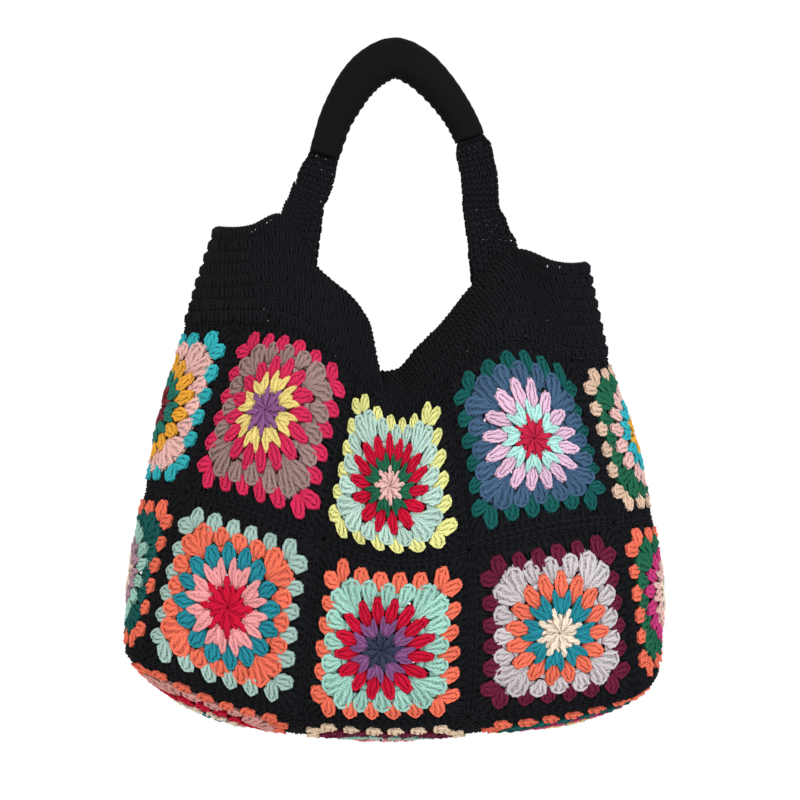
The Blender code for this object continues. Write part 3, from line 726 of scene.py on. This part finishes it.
# %% [markdown]
# Crochet grows by one stitch at a time, so a piece in progress is a mesh that each stitch is joined to.
# A hand never works two stitches alike: each gets a little scatter in its ends, height and width.

# %% Crochet in progress
HEIGHT_SCATTER = 0.2  # in mm
WIDTH_SCATTER = 0.05



class Work:
    """A piece of crochet that grows stitch by stitch."""

    def __init__(self, seed):
        self.bm = bmesh.new()
        self.hook = bpy.data.meshes.new("stitch_on_the_hook")
        self.chance = np.random.default_rng(seed)
        self.yarn, self.tone = [], []

    def add(self, stitch, place, colour=0):
        """Works one stitch at a place given by a matrix, in a colour given by number."""
        made = bmesh.new()
        made.from_mesh(stitch.mesh)
        bmesh.ops.transform(made, matrix=place, verts=made.verts)
        for face in made.faces:
            face.material_index = colour
        made.to_mesh(self.hook)
        made.free()
        self.bm.from_mesh(self.hook)
        self.yarn.append(stitch.yarn)
        self.tone.append(np.full(len(stitch.mesh.vertices), self.chance.random()))

    def aim(self, stitch, foot, head, colour, slack=0.35, width=1.0, lift=0.0):
        """Works a stitch from its foot to its head, both in mm on the flat cloth, a little out of true."""
        ends = []
        for point in (foot, head):
            scatter = self.chance.normal(0, slack, 2)
            ends.append(Vector((*point, 0)) + Vector((*scatter, 0)))
        foot, head = ends
        run = (head - foot) * MM
        height = (lift + self.chance.normal(0, HEIGHT_SCATTER)) * MM
        across = width * (1 + self.chance.normal(0, WIDTH_SCATTER))
        size = Matrix.Diagonal((across, run.length / stitch.length, 1, 1))
        turn = Matrix.Rotation(math.atan2(-run.x, run.y), 4, "Z")
        self.add(stitch, Matrix.Translation(foot * MM + Vector((0, 0, height))) @ turn @ size, colour)

    def mesh(self, name):
        """The finished mesh, with the attributes that its yarn reads."""
        made = bpy.data.meshes.new(name)
        self.bm.to_mesh(made)
        self.bm.free()
        bpy.data.meshes.remove(self.hook)
        yarn = made.attributes.new("yarn", "FLOAT_VECTOR", "POINT")
        yarn.data.foreach_set("vector", np.concatenate(self.yarn))
        tone = made.attributes.new("tone", "FLOAT", "POINT")
        tone.data.foreach_set("value", np.concatenate(self.tone))
        return made


print("work basket ready")

# %% [markdown]
# ## A granny square
# The square grows in rounds from its middle. Sixteen stitches make a disc, and every other one reaches
# out between the petals as the point of a star. Eight pairs of petals stand on the disc, each pair with a
# short stitch in its fork, then sixteen oval puffs, one between each two petal tips. The fourth round
# turns the circle into a square: three fans on each side and a double one at each corner. The fifth has
# four puffs to a side, and the last, always black, fills the gaps between them and makes the edge. A cord
# of chain runs under each round and closes the gaps between the bunches, as the chain stitches do on the
# real square.

# %% Chains under the rounds
CHAIN_STEPS = 40
SIDES_OF_SQUARE = 4


def chain(work, radius, squareness, girth, colour):
    """A closed strand on a ring between a circle and a square, in mm."""
    bm = bmesh.new()
    angle = np.linspace(0, 2 * math.pi, CHAIN_STEPS, endpoint=False)
    c, s = np.cos(angle), np.sin(angle)
    reach = radius * ((1 - squareness) + squareness / np.maximum(abs(c), abs(s)) ** 0.9)
    path = np.stack([reach * c, reach * s, 0 * c - 0.9], axis=1) * MM
    around = np.full(CHAIN_STEPS, girth * MM)
    spin_strand(bm, path, around, np.full(CHAIN_STEPS, 1.2 * MM), STRAND_SIDES, closed=True)
    work.add(Stitch("chain", bm, 1.0), Matrix.Identity(4), colour)


def polar(radius, degrees):
    """A point at a distance from the middle and an angle from straight up, in mm."""
    return radius * math.sin(math.radians(degrees)), radius * math.cos(math.radians(degrees))


def turned(point, quarter):
    """A point turned by quarter turns about the middle."""
    x, y = point
    for _ in range(quarter):
        x, y = y, -x
    return x, y


print("chain ready")

# %% [markdown]
# The places below are those of a square lying flat, in mm from its middle. Those of the first three rounds
# are told by distance and spoke, and the later ones along one side and one corner, which are then repeated
# by quarter turns.

# %% One flat square, round by round
ROUND_STITCHES = 16
SPOKE = 360 / ROUND_STITCHES  # degrees between two stitches of a full round
DISC_EYE = 0.8  # where the stitches of the disc begin
DISC, STAR = 16.5, 19.0  # where its stitches end, and where the star's points do
PETAL_FOOT, PETAL_HEAD = 12.6, 30.4
PETAL_APART = (0.32, 0.56)  # of a spoke, at the feet and the heads of a pair
FORK_FOOT, FORK_HEAD = 12.0, 25.0
OVAL_FOOT, OVAL_HEAD = 22.0, 42.0
SIDE_FANS = ((-14.5, -17.8), (0.0, 0.0), (14.5, 17.8))  # foot and head along the side, in mm
SIDE_PUFFS = ((-24.0, -26.1), (-8.0, -8.7), (8.0, 8.7), (24.0, 26.1))
EDGE_FANS = ((-33.0, -36.5), (-16.5, -18.3), (0.0, 0.0), (16.5, 18.3), (33.0, 36.5))
CORNER_LOBES = (((25.0, 26.5), (34.5, 48.8)), ((26.5, 25.0), (48.8, 34.5)))
CORNER_PUFFS = (((41.5, 43.0), (43.0, 58.0)), ((43.0, 41.5), (58.0, 43.0)))
CORNER_FANS = (((45.5, 47.5), (53.5, 63.5)), ((47.5, 45.5), (63.5, 53.5)), ((45.5, 45.5), (61.0, 61.0)))
EDGE_CHAIN = 63.2  # how far from the middle the joining chain lies
EDGE_STITCHES = 20  # joining stitches along one side
BLACK_ROUND = 5
STAR_LIFT = 1.5  # the star's points and
PETAL_LIFT = 1.4  # the petals lie over the rounds on both sides of them,
FORK_LIFT = 1.0
BLACK_LIFT = -1.5  # and the black round lies behind the coloured one
BLACK_WIDTH = 0.8
# Chains: distance from the middle to a side, how square the ring is, its girth and its colour's number
OVAL_CHAIN = (36.0, 0.12, 3.4, 3)
SQUARE_CHAINS = (
    (42.5, 0.85, 4.4, 3),
    (50.5, 1.0, 3.4, BLACK_ROUND),
    (57.0, 1.05, 3.6, BLACK_ROUND),
    (62.0, 1.10, 2.8, BLACK_ROUND),
)


def round_part(work):
    """The disc, the petals and the oval puffs."""
    for k in range(ROUND_STITCHES):
        spoke = SPOKE * (k + 0.5)
        reach, lift = (STAR, STAR_LIFT) if k % 2 else (DISC, 0.0)
        work.aim(RAY, polar(DISC_EYE, spoke), polar(reach, spoke), 0, slack=0.15, lift=lift)
    for k in range(ROUND_STITCHES // 2):
        middle = SPOKE * (2 * k + 0.5)
        for hand in (-1, 1):
            foot = polar(PETAL_FOOT, middle + PETAL_APART[0] * hand * SPOKE)
            head = polar(PETAL_HEAD, middle + PETAL_APART[1] * hand * SPOKE)
            work.aim(PETAL, foot, head, 1, slack=0.25, lift=PETAL_LIFT)
        work.aim(FORK, polar(FORK_FOOT, middle), polar(FORK_HEAD, middle), 1, slack=0.25, lift=FORK_LIFT)
    for k in range(ROUND_STITCHES):
        spoke = SPOKE * (k + 0.5)
        work.aim(OVAL, polar(OVAL_FOOT, spoke), polar(OVAL_HEAD, spoke), 2)
    chain(work, *OVAL_CHAIN)


def square_part(work):
    """The two coloured rounds and the black one that make the circle a square."""
    rounds = (
        (FAN, SIDE_FANS, 35.5, 50.2, LOBE_FAN, CORNER_LOBES, 3),
        (PUFF, SIDE_PUFFS, 43.6, 57.0, PUFF, CORNER_PUFFS, 4),
        (EDGE_FAN, EDGE_FANS, 48.6, 64.0, EDGE_FAN, CORNER_FANS, BLACK_ROUND),
    )
    for stitch, laterals, low, high, corner_stitch, corners, colour in rounds:
        width, lift = (BLACK_WIDTH, BLACK_LIFT) if colour == BLACK_ROUND else (1.0, 0.0)
        for quarter in range(SIDES_OF_SQUARE):
            for foot, head in laterals:
                ends = (turned((foot, low), quarter), turned((head, high), quarter))
                work.aim(stitch, *ends, colour, lift=lift)
            for foot, head in corners:
                ends = (turned(foot, quarter), turned(head, quarter))
                work.aim(corner_stitch, *ends, colour, width=width, lift=lift)
    for ring in SQUARE_CHAINS:
        chain(work, *ring)


def joining_chain(work):
    """The stitches that join the square to its neighbours."""
    pitch = 2 * EDGE_CHAIN / EDGE_STITCHES
    for quarter in range(SIDES_OF_SQUARE):
        for k in range(EDGE_STITCHES):
            foot = -EDGE_CHAIN + pitch * k
            ends = [turned((x, EDGE_CHAIN), quarter) for x in (foot, foot + pitch)]
            work.aim(EDGE_V, *ends, BLACK_ROUND, slack=0.08)


def flat_square(name, seed):
    """A whole granny square, lying flat."""
    work = Work(seed)
    round_part(work)
    square_part(work)
    joining_chain(work)
    return work.mesh(name)


flat_squares = [flat_square("flat_square", seed) for seed in range(3)]
print("faces of one square:", len(flat_squares[0].polygons))

# %% [markdown]
# ## The patchwork
# Each square is a copy of one of three flat ones with its own yarns. Before it is laid on the bag it is
# turned by none to three quarters and pulled a little out of true, so that no two squares are the same.

# %% Yarns of each square, from its middle outwards
PLACES = ("left", "middle", "right")
FRONT_UPPER = (
    ("purple", "yellow", "hot_pink", "taupe", "hot_pink"),
    ("pale_pink", "green", "red", "pale_aqua", "pale_yellow"),
    ("crimson", "ice_mint", "lilac_pink", "slate", "dark_teal"),
)
FRONT_LOWER = (
    ("red", "pink", "teal", "coral", "pale_mint"),
    ("navy", "purple", "red", "mint", "coral"),
    ("cream", "teal", "coral", "grey", "burgundy"),
)
BACK_UPPER = (
    ("yellow", "coral", "slate", "pale_pink", "teal"),
    ("red", "cream", "green", "gold", "hot_pink"),
    ("teal", "pink", "burgundy", "mint", "cream"),
)
BACK_LOWER = (
    ("magenta", "pale_aqua", "purple", "yellow", "dark_teal"),
    ("gold", "red", "lilac_pink", "teal", "peach"),
    ("cream", "mauve", "coral", "slate", "mint"),
)
LEFT_SIDE = (  # the lower square, then the upper one
    ("cream", "mauve", "mint", "dark_teal", "coral"),
    ("maroon", "sea_green", "gold", "pale_pink", "turquoise"),
)
RIGHT_SIDE = (
    ("cream", "pale_pink", "magenta", "green", "coral"),
    ("gold", "turquoise", "pale_pink", "green", "peach"),
)
BASE = (
    ("teal", "cream", "red", "dusty_pink", "coral"),
    ("sea_green", "pink", "mint", "burgundy", "ecru"),
    ("purple", "yellow", "magenta", "dark_teal", "coral"),
)
WALLS = (FRONT_UPPER, FRONT_LOWER, BACK_UPPER, BACK_LOWER, LEFT_SIDE, RIGHT_SIDE)
print("squares:", sum(len(wall) for wall in (*WALLS, BASE)))

# %% [markdown]
# A worn bag pulls its squares out of shape, and a tight hand draws in the first rounds of one more than of
# the next. The six squares of the front are pulled as the photograph shows them. All others only waver.

# %% How each square is pulled within its seams
# Growth to the right and up; shift of the whole and slide of its heart, both to the right and up in mm; and
# the size of its heart, the disc with its petals
EVEN = ((1.0, 1.0), (0, 0), (0, 0), 1.0)
PULLS = {
    "front_upper_left_square": ((1.0, 1.0), (0, 0), (-13, 4), 0.97),
    "front_upper_middle_square": ((1.05, 1.0), (-6, 0), (-5, -8), 0.82),
    "front_upper_right_square": ((1.04, 0.90), (0, 5), (2, -10), 0.84),
    "front_lower_left_square": ((1.04, 1.0), (-5, 0), (-1, -3), 1.12),
    "front_lower_middle_square": ((1.0, 1.0), (0, -4), (-6, -5), 0.84),
    "front_lower_right_square": ((1.0, 1.0), (0, 0), (4, -6), 1.0),
}
HEART_EDGE = (25 * MM, 50 * MM)  # between these distances from the middle the drawing in fades out
WAVER = 0.8 * MM  # how far the cloth wavers in its own plane
BILLOW = 1.0 * MM  # and out of it
print("squares that are pulled:", len(PULLS))

# %% [markdown]
# The seam of a square stays where it is sewn, so every pull fades out towards the edge. The flat points
# are moved first and laid on the form last, by a function that knows the square's place on the bag.

# %% Laying the squares on the bag


def points_of(mesh):
    """The places of a mesh's vertices."""
    flat = np.zeros(3 * len(mesh.vertices))
    mesh.vertices.foreach_get("co", flat)
    return flat.reshape(-1, 3)


def free_part(share):
    """How freely the cloth moves: fully over most of a square and not at all at its seam."""
    return 1 - np.clip(abs(share), 0, 1) ** 8


def drawn_in(flat, heart):
    """Flat points of a square whose heart is worked tighter or looser than the rest."""
    distance = np.hypot(flat[:, 0], flat[:, 1])
    t = np.clip((distance - HEART_EDGE[0]) / (HEART_EDGE[1] - HEART_EDGE[0]), 0, 1)
    size = heart + (1 - heart) * t * t * (3 - 2 * t)
    return np.stack([flat[:, 0] * size, flat[:, 1] * size, flat[:, 2]], axis=1)


def pulled(flat, chance, grow, shift, slide):
    """Flat points of a square that is stretched and shifted within its seams, and never quite true."""
    half = SQUARE / 2
    share = flat[:, :2] / half
    free = free_part(share[:, 0]) * free_part(share[:, 1])
    middle = np.prod(1 - np.clip(abs(share), 0, 1) ** 2, axis=1)
    moved = flat.copy()
    for axis in (0, 1):
        reach, a, b, phase = chance.normal(0, WAVER), *chance.uniform(0.5, 2.2, 2), chance.uniform(0, 6)
        moved[:, axis] += free * reach * np.sin(a * share[:, 0] + b * share[:, 1] + phase)
        moved[:, axis] += free * (shift[axis] * MM + (grow[axis] - 1) * flat[:, axis])
        moved[:, axis] += middle * slide[axis] * MM
    a, b, phase = chance.uniform(1, 3), chance.uniform(1, 3), chance.uniform(0, 6)
    moved[:, 2] += free * BILLOW * np.sin(a * share[:, 0] + b * share[:, 1] + phase)
    return moved


def show(name, mesh, node, colours):
    """Makes a piece of a mesh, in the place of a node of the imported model."""
    for colour in colours:
        mesh.materials.append(dye(colour))
    piece = bpy.data.objects.new(name, mesh)
    bpy.context.scene.collection.objects.link(piece)
    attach(piece, "root")
    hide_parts(node)
    return piece


def lay_square(node, colours, number, drape):
    """Works one square in its colours and lays it in its place on the bag."""
    chance = np.random.default_rng(100 + number)
    mesh = flat_squares[number % len(flat_squares)].copy()
    flat = points_of(mesh)
    for _ in range(number % SIDES_OF_SQUARE):
        flat = np.stack([flat[:, 1], -flat[:, 0], flat[:, 2]], axis=1)
    grow, shift, slide, heart = PULLS.get(node, EVEN)
    flat = pulled(drawn_in(flat, heart), chance, grow, shift, slide)
    mesh.vertices.foreach_set("co", drape(flat).ravel())
    mesh.name = node + "_crochet"
    show(node + "_crochet", mesh, node, (*colours, "black"))


def on_wall(column, row):
    """How a flat square is laid on the wall."""
    def drape(flat):
        return drape_wall(column + 0.5 + flat[:, 0] / SQUARE, row + 0.5 + flat[:, 1] / SQUARE, flat[:, 2])

    return drape


def on_base(column):
    """How a flat square is laid on the base; its far edge meets the front."""
    def drape(flat):
        return drape_base(column + 0.5 + flat[:, 0] / SQUARE, 0.5 - flat[:, 1] / SQUARE, flat[:, 2])

    return drape


def patchwork():
    """Every square's node, colours and way of being laid."""
    plan = []
    back_start = FRONT_COLUMNS + SIDE_COLUMNS
    rows = ((1, "upper", FRONT_UPPER, BACK_UPPER), (0, "lower", FRONT_LOWER, BACK_LOWER))
    for row, high, front, back in rows:
        for k, place in enumerate(PLACES):
            plan.append((f"front_{high}_{place}_square", front[k], on_wall(k, row)))
            far = back_start + FRONT_COLUMNS - 1 - k
            plan.append((f"back_{high}_{place}_square", back[k], on_wall(far, row)))
        plan.append((f"left_side_{high}_square", LEFT_SIDE[row], on_wall(ROUND_COLUMNS - 1, row)))
        plan.append((f"right_side_{high}_square", RIGHT_SIDE[row], on_wall(FRONT_COLUMNS, row)))
    plan += [(f"base_{place}_square", BASE[k], on_base(k)) for k, place in enumerate(PLACES)]
    return plan


for number, (node, colours, drape) in enumerate(patchwork()):
    lay_square(node, colours, number, drape)
print("squares laid:", len(patchwork()))

# %% [markdown]
# ## The yoke
# The black band is worked round and round in eight rows of tall stitches, each row closed by the chain
# along its top. In the lowest two rows the stitches stand in threes, and small holes between the threes
# let light through. The band is worked as a flat strip, as long as the eight squares below it, and then
# laid on the form.

# %% Working the yoke
YOKE_ROWS = 8
YOKE_STITCHES = 252  # in one row
OPEN_ROWS = 2  # rows worked in threes
ROW_HEIGHT = YOKE_HEIGHT / YOKE_ROWS
PITCH = ROUND_COLUMNS * SQUARE / YOKE_STITCHES
POST = bunch("post", 1, 11.0, (0, 0, 0), (3.1, 3.3, 3.1), rings=4, sides=4, padded=False)
THREE = bunch("three", 3, 11.0, (3.6, 4.2, 4.2), (2.2, 2.9, 2.9), rings=4, sides=4, padded=False)


def row_chain(work, height):
    """The chain along the top of one row, a long strand with a swelling at each stitch."""
    bm = bmesh.new()
    steps = 2 * YOKE_STITCHES
    x = np.linspace(0, ROUND_COLUMNS * SQUARE, steps + 1)
    swell = np.where(np.arange(steps + 1) % 2, 2.0, 1.5) * MM
    path = np.stack([x, np.full(steps + 1, height), np.full(steps + 1, 0.2 * MM)], axis=1)
    spin_strand(bm, path, swell, swell * 1.15, 4)
    work.add(Stitch("row_chain", bm, 1.0), Matrix.Identity(4))


def work_row(work, row):
    """One row of tall stitches."""
    group = 3 if row < OPEN_ROWS else 1
    for k in range(YOKE_STITCHES // group):
        x = (k + 0.5 * (row % 2)) * PITCH * group
        foot, head = (x / MM, (row * ROW_HEIGHT) / MM - 1.2), (x / MM, (row + 1) * ROW_HEIGHT / MM - 0.8)
        work.aim(THREE if group == 3 else POST, foot, head, 0, slack=0.4)
    row_chain(work, (row + 0.88) * ROW_HEIGHT)


def work_yoke():
    """The yoke, row by row."""
    work = Work(7)
    for row in range(YOKE_ROWS):
        work_row(work, row)
    mesh = work.mesh("yoke_crochet")
    flat = points_of(mesh)
    laid = drape_wall(flat[:, 0] / SQUARE, BODY_ROWS + flat[:, 1] / SQUARE, flat[:, 2])
    mesh.vertices.foreach_set("co", laid.ravel())
    show("yoke_crochet", mesh, "yoke", ("black",))
    return mesh


print("faces of the yoke:", len(work_yoke().polygons))

# %% [markdown]
# ## The handle
# The two straps stand on the yoke, front and back, and run together through the sleeve. Their middle line
# is a smooth curve through points chosen along the handle of the photograph.

# %% The handle's line
SLEEVE_WIDTH = 0.032
HANDLE_LINE = (
    (-0.0660, -0.0900),
    (-0.0549, -0.0616),
    (-0.0503, -0.0464),
    (-0.0452, -0.0312),
    (-0.0369, -0.0152),
    (-0.0290, -0.0030),
    (-0.0175, 0.0085),
    (0.0000, SLEEVE_WIDTH / 2),
    (0.0165, 0.0092),
    (0.0295, -0.0025),
    (0.0422, -0.0182),
    (0.0500, -0.0305),
    (0.0557, -0.0425),
    (0.0600, -0.0560),
    (0.0650, -0.0950),
)
SLEEVE_FROM, SLEEVE_TO = 0.034, 0.2165  # where the sleeve begins and ends along the line
STRAP_WIDTH = 0.0265
STRAP_PINCH = 0.0195  # its width inside the sleeve
STRAP_SPREAD = 0.008  # the stretch over which it widens outside the sleeve
STRAP_THICK = 0.0055
STRAP_GAP = 0.0012  # between the two straps inside the sleeve
STRAP_SPLAY = 0.0085  # how much further apart they are at the ends of the line
STRAP_FOOT = (0.25, 0.375, 0.5, 0.625)  # where a foot stands on the yoke's edge, in squares from the seam
FOOT_FLARE = 0.38  # how far down to the foot the strap's widening row lies


def handle_stations():
    """How far each point of the handle line lies along it."""
    return np.concatenate([[0], np.cumsum(np.linalg.norm(np.diff(HANDLE_LINE, axis=0), axis=1))])


def handle_frame(at):
    """Middle and sideways direction of the handle at distances along its line."""
    stations, step = handle_stations(), 0.4 * MM
    before, line, after = (smooth_through(stations, HANDLE_LINE, at + move) for move in (-step, 0, step))
    ahead = unit(after - before)
    middle = np.stack([line[:, 0], np.zeros(len(at)), line[:, 1]], axis=1)
    side = np.stack([-ahead[:, 1], np.zeros(len(at)), ahead[:, 0]], axis=1)
    return middle, side


def strap_outline(at):
    """A strap's half width and the distance from the handle's middle to its own."""
    clear = np.maximum(0, np.maximum(SLEEVE_FROM - at, at - SLEEVE_TO))
    half_width = (STRAP_PINCH + (STRAP_WIDTH - STRAP_PINCH) * np.clip(clear / STRAP_SPREAD, 0, 1)) / 2
    apart = STRAP_THICK / 2 + STRAP_GAP / 2 + STRAP_SPLAY * np.clip(clear / SLEEVE_FROM, 0, 1) ** 1.3
    return half_width, apart


print("handle line:", round(handle_stations()[-1], 3), "m")

# %% [markdown]
# A strap's cloth is laid on a surface through rows of four points: the foot on the yoke's edge, a row
# where the strap starts to widen into it, and one row every centimetre or so along the handle.

# %% Working a strap
ACROSS = np.array([1, 0.4, -0.4, -1])  # the four points of a row, as shares of the half width
HANDLE_ROWS = 27
STRAP_COLUMNS = 6
STRAP_ROW = 4.7 * MM
COLUMN_SCATTER, ROW_SCATTER = 0.02, 0.12 * MM


def strap_rows(facing):
    """Rows of four points along the middle of a strap's cloth, from its left foot to its right foot."""
    at = np.linspace(0, handle_stations()[-1], HANDLE_ROWS)
    middle, side = handle_frame(at)
    half_width, apart = strap_outline(at)
    rows = middle[:, None] + side[:, None] * (ACROSS[None, :, None] * half_width[:, None, None])
    rows[:, :, 1] += facing * apart[:, None]
    feet = []
    for places in (STRAP_FOOT, [FRONT_COLUMNS - place for place in STRAP_FOOT]):
        places = np.array(places) if facing < 0 else 2 * HALF_WAY - np.array(places)
        feet.append(body_form(places, np.full(4, RIM)))
    low = rows[0] + (feet[0] - rows[0]) * FOOT_FLARE
    high = rows[-1] + (feet[1] - rows[-1]) * FOOT_FLARE
    return np.concatenate([[feet[0], low], rows, [high, feet[1]]])


def strap_form(rows):
    """A surface through the rows, told by the distance along the strap and the share across it."""
    centre = rows.mean(axis=1)
    stations = np.concatenate([[0], np.cumsum(np.linalg.norm(np.diff(centre, axis=0), axis=1))])

    def form(along, across):
        lines = np.stack([smooth_through(stations, rows[:, k], along) for k in range(4)], axis=1)
        made = np.zeros((len(along), 3))
        for k in range(3):
            high, low = ACROSS[k], ACROSS[k + 1]
            inside = (across <= high) | (k == 0)
            share = ((high - across) / (high - low))[:, None]
            made = np.where(inside[:, None], lines[:, k] * (1 - share) + lines[:, k + 1] * share, made)
        return made

    return form, stations[-1]


def work_strap(node, facing):
    """A strap of short stitches."""
    work = Work(11 + facing)
    form, length = strap_form(strap_rows(facing))
    rows = round(length / STRAP_ROW)
    rise, column = length / rows, 2 / STRAP_COLUMNS
    size = Matrix.Diagonal((column / V_WIDTH, rise / V_HEIGHT, 1, 1))
    for row in range(rows):
        for k in range(STRAP_COLUMNS):
            wobble = Vector((work.chance.normal(0, COLUMN_SCATTER), work.chance.normal(0, ROW_SCATTER), 0))
            place = Vector((-1 + column * (k + 0.5), row * rise, 0)) + wobble
            work.add(V, Matrix.Translation(place) @ size)
    mesh = work.mesh(node + "_crochet")
    flat = points_of(mesh)
    step = 0.5 * MM
    across, along = flat[:, 0], flat[:, 1]
    up = form(along + step, across) - form(along - step, across)
    over = form(along, across + 0.05) - form(along, across - 0.05)
    normal = unit(np.cross(over, up)) * -facing
    normal *= np.where(normal[:, 1:2] * facing < 0, -1, 1)
    mesh.vertices.foreach_set("co", (form(along, across) + normal * flat[:, 2:]).ravel())
    show(node + "_crochet", mesh, node, ("black",))
    return length


print("strap length:", round(work_strap("front_strap", -1), 3), round(work_strap("back_strap", 1), 3), "m")

# %% [markdown]
# ## The sleeve
# The sleeve is a tube of smooth black cloth over padding. It is lofted ring by ring along the handle's
# line, creased a little where it bends, and drawn in at its ends, where it turns inwards on the straps.

# %% Cloth of the sleeve
SLEEVE_BLACK = (0.0014, 0.0014, 0.0014, 1)
KNIT_SCALE, WEAR_SCALE = 2600.0, 35.0
KNIT_DEPTH, WEAR_DEPTH = 0.12 * MM, 0.25 * MM


def sleeve_cloth():
    """Fine black jersey, a little lighter where it is worn."""
    recipe = Recipe("sleeve_cloth")
    place = recipe.wire("TexCoord", "Object")
    knit = recipe.wire("TexNoise", "Fac", None, {"Vector": place, "Scale": KNIT_SCALE, "Detail": 1.0})
    worn = recipe.wire("TexNoise", "Fac", None, {"Vector": place, "Scale": WEAR_SCALE, "Detail": 3.0})
    lighter = tuple(2.2 * part for part in SLEEVE_BLACK[:3]) + (1,)
    recipe.feed(recipe.surface.inputs["Base Color"], recipe.blend(SLEEVE_BLACK, lighter, worn * 0.6))
    relief = knit * KNIT_DEPTH + worn * WEAR_DEPTH
    bump = recipe.wire("Bump", "Normal", None, {"Height": relief, "Distance": 1.0, "Strength": 0.6})
    recipe.feed(recipe.surface.inputs["Normal"], bump)
    recipe.surface.inputs["Roughness"].default_value = 0.8
    recipe.surface.inputs["Specular IOR Level"].default_value = 0.06
    return recipe.material


print("sleeve cloth:", sleeve_cloth().name)

# %% [markdown]
# The padding makes the sleeve fullest at its top, where a shoulder carries it, and slimmer at both ends.
# Fine creases run across its inner side, where the cloth is too long for the bend.

# %% Lofting the sleeve
SLEEVE_DEPTH = 0.0235
SLEEVE_END_WIDTH, SLEEVE_END_DEPTH = 0.0245, 0.0205
SWELL = 2.0  # the higher, the more of the sleeve is slim
SLEEVE_SIDES = 32
SLEEVE_RINGS = 90
CREASE = 0.35 * MM


def sleeve_ring(at, share, shrink):
    """Points round the sleeve at one place along the handle."""
    middle, side = handle_frame(np.array([at]))
    swell = math.sin(math.pi * share) ** SWELL
    width = (SLEEVE_END_WIDTH + (SLEEVE_WIDTH - SLEEVE_END_WIDTH) * swell) / 2
    depth = (SLEEVE_END_DEPTH + (SLEEVE_DEPTH - SLEEVE_END_DEPTH) * swell) / 2
    points = []
    for k in range(SLEEVE_SIDES):
        angle = 2 * math.pi * k / SLEEVE_SIDES
        inner = max(0, -math.cos(angle)) ** 2
        crease = CREASE * (0.4 + inner) * math.sin(900 * at + 2.5 * math.sin(angle) + 3 * math.sin(60 * at))
        reach = 1 - shrink - (CREASE - crease) / width
        offset = side[0] * width * reach * math.cos(angle)
        points.append(middle[0] + offset + np.array([0, depth * reach * math.sin(angle), 0]))
    return points


def work_sleeve():
    """The sleeve, from one turned-in end to the other."""
    ends = ((0.0, 0.30), (0.0, 0.16), (0.0, 0.05))
    inner = [(share, 0.0) for share in np.linspace(0.012, 0.988, SLEEVE_RINGS)]
    rings = [*ends, *inner, *[(1 - share, shrink) for share, shrink in reversed(ends)]]
    bm = bmesh.new()
    loop = bmesh.ops.create_circle(bm, radius=1, segments=SLEEVE_SIDES)["verts"]
    first = loop
    for number, (share, shrink) in enumerate(rings):
        loop = next_loop(bm, loop) if number else loop
        at = SLEEVE_FROM + (SLEEVE_TO - SLEEVE_FROM) * share
        for vert, point in zip(loop, sleeve_ring(at, share, shrink)):
            vert.co = point
    for ring in (first, loop):
        bmesh.ops.edgeloop_fill(bm, edges=[bm.edges.get((ring[k - 1], vert)) for k, vert in enumerate(ring)])
    bmesh.ops.recalc_face_normals(bm, faces=bm.faces)
    for face in bm.faces:
        face.smooth = len(face.verts) == 4
    mesh = bpy.data.meshes.new("handle_sleeve_cloth")
    bm.to_mesh(mesh)
    bm.free()
    mesh.materials.append(sleeve_cloth())
    sleeve = bpy.data.objects.new("handle_sleeve_cloth", mesh)
    bpy.context.scene.collection.objects.link(sleeve)
    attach(sleeve, "root")
    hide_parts("handle_sleeve")
    return mesh


print("faces of the sleeve:", len(work_sleeve().polygons))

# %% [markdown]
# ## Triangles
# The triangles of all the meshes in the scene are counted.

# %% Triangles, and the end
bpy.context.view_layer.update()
meshes = [item.data for item in bpy.data.objects if item.type == "MESH"]
print("triangles:", sum(len(face.vertices) - 2 for mesh in meshes for face in mesh.polygons))
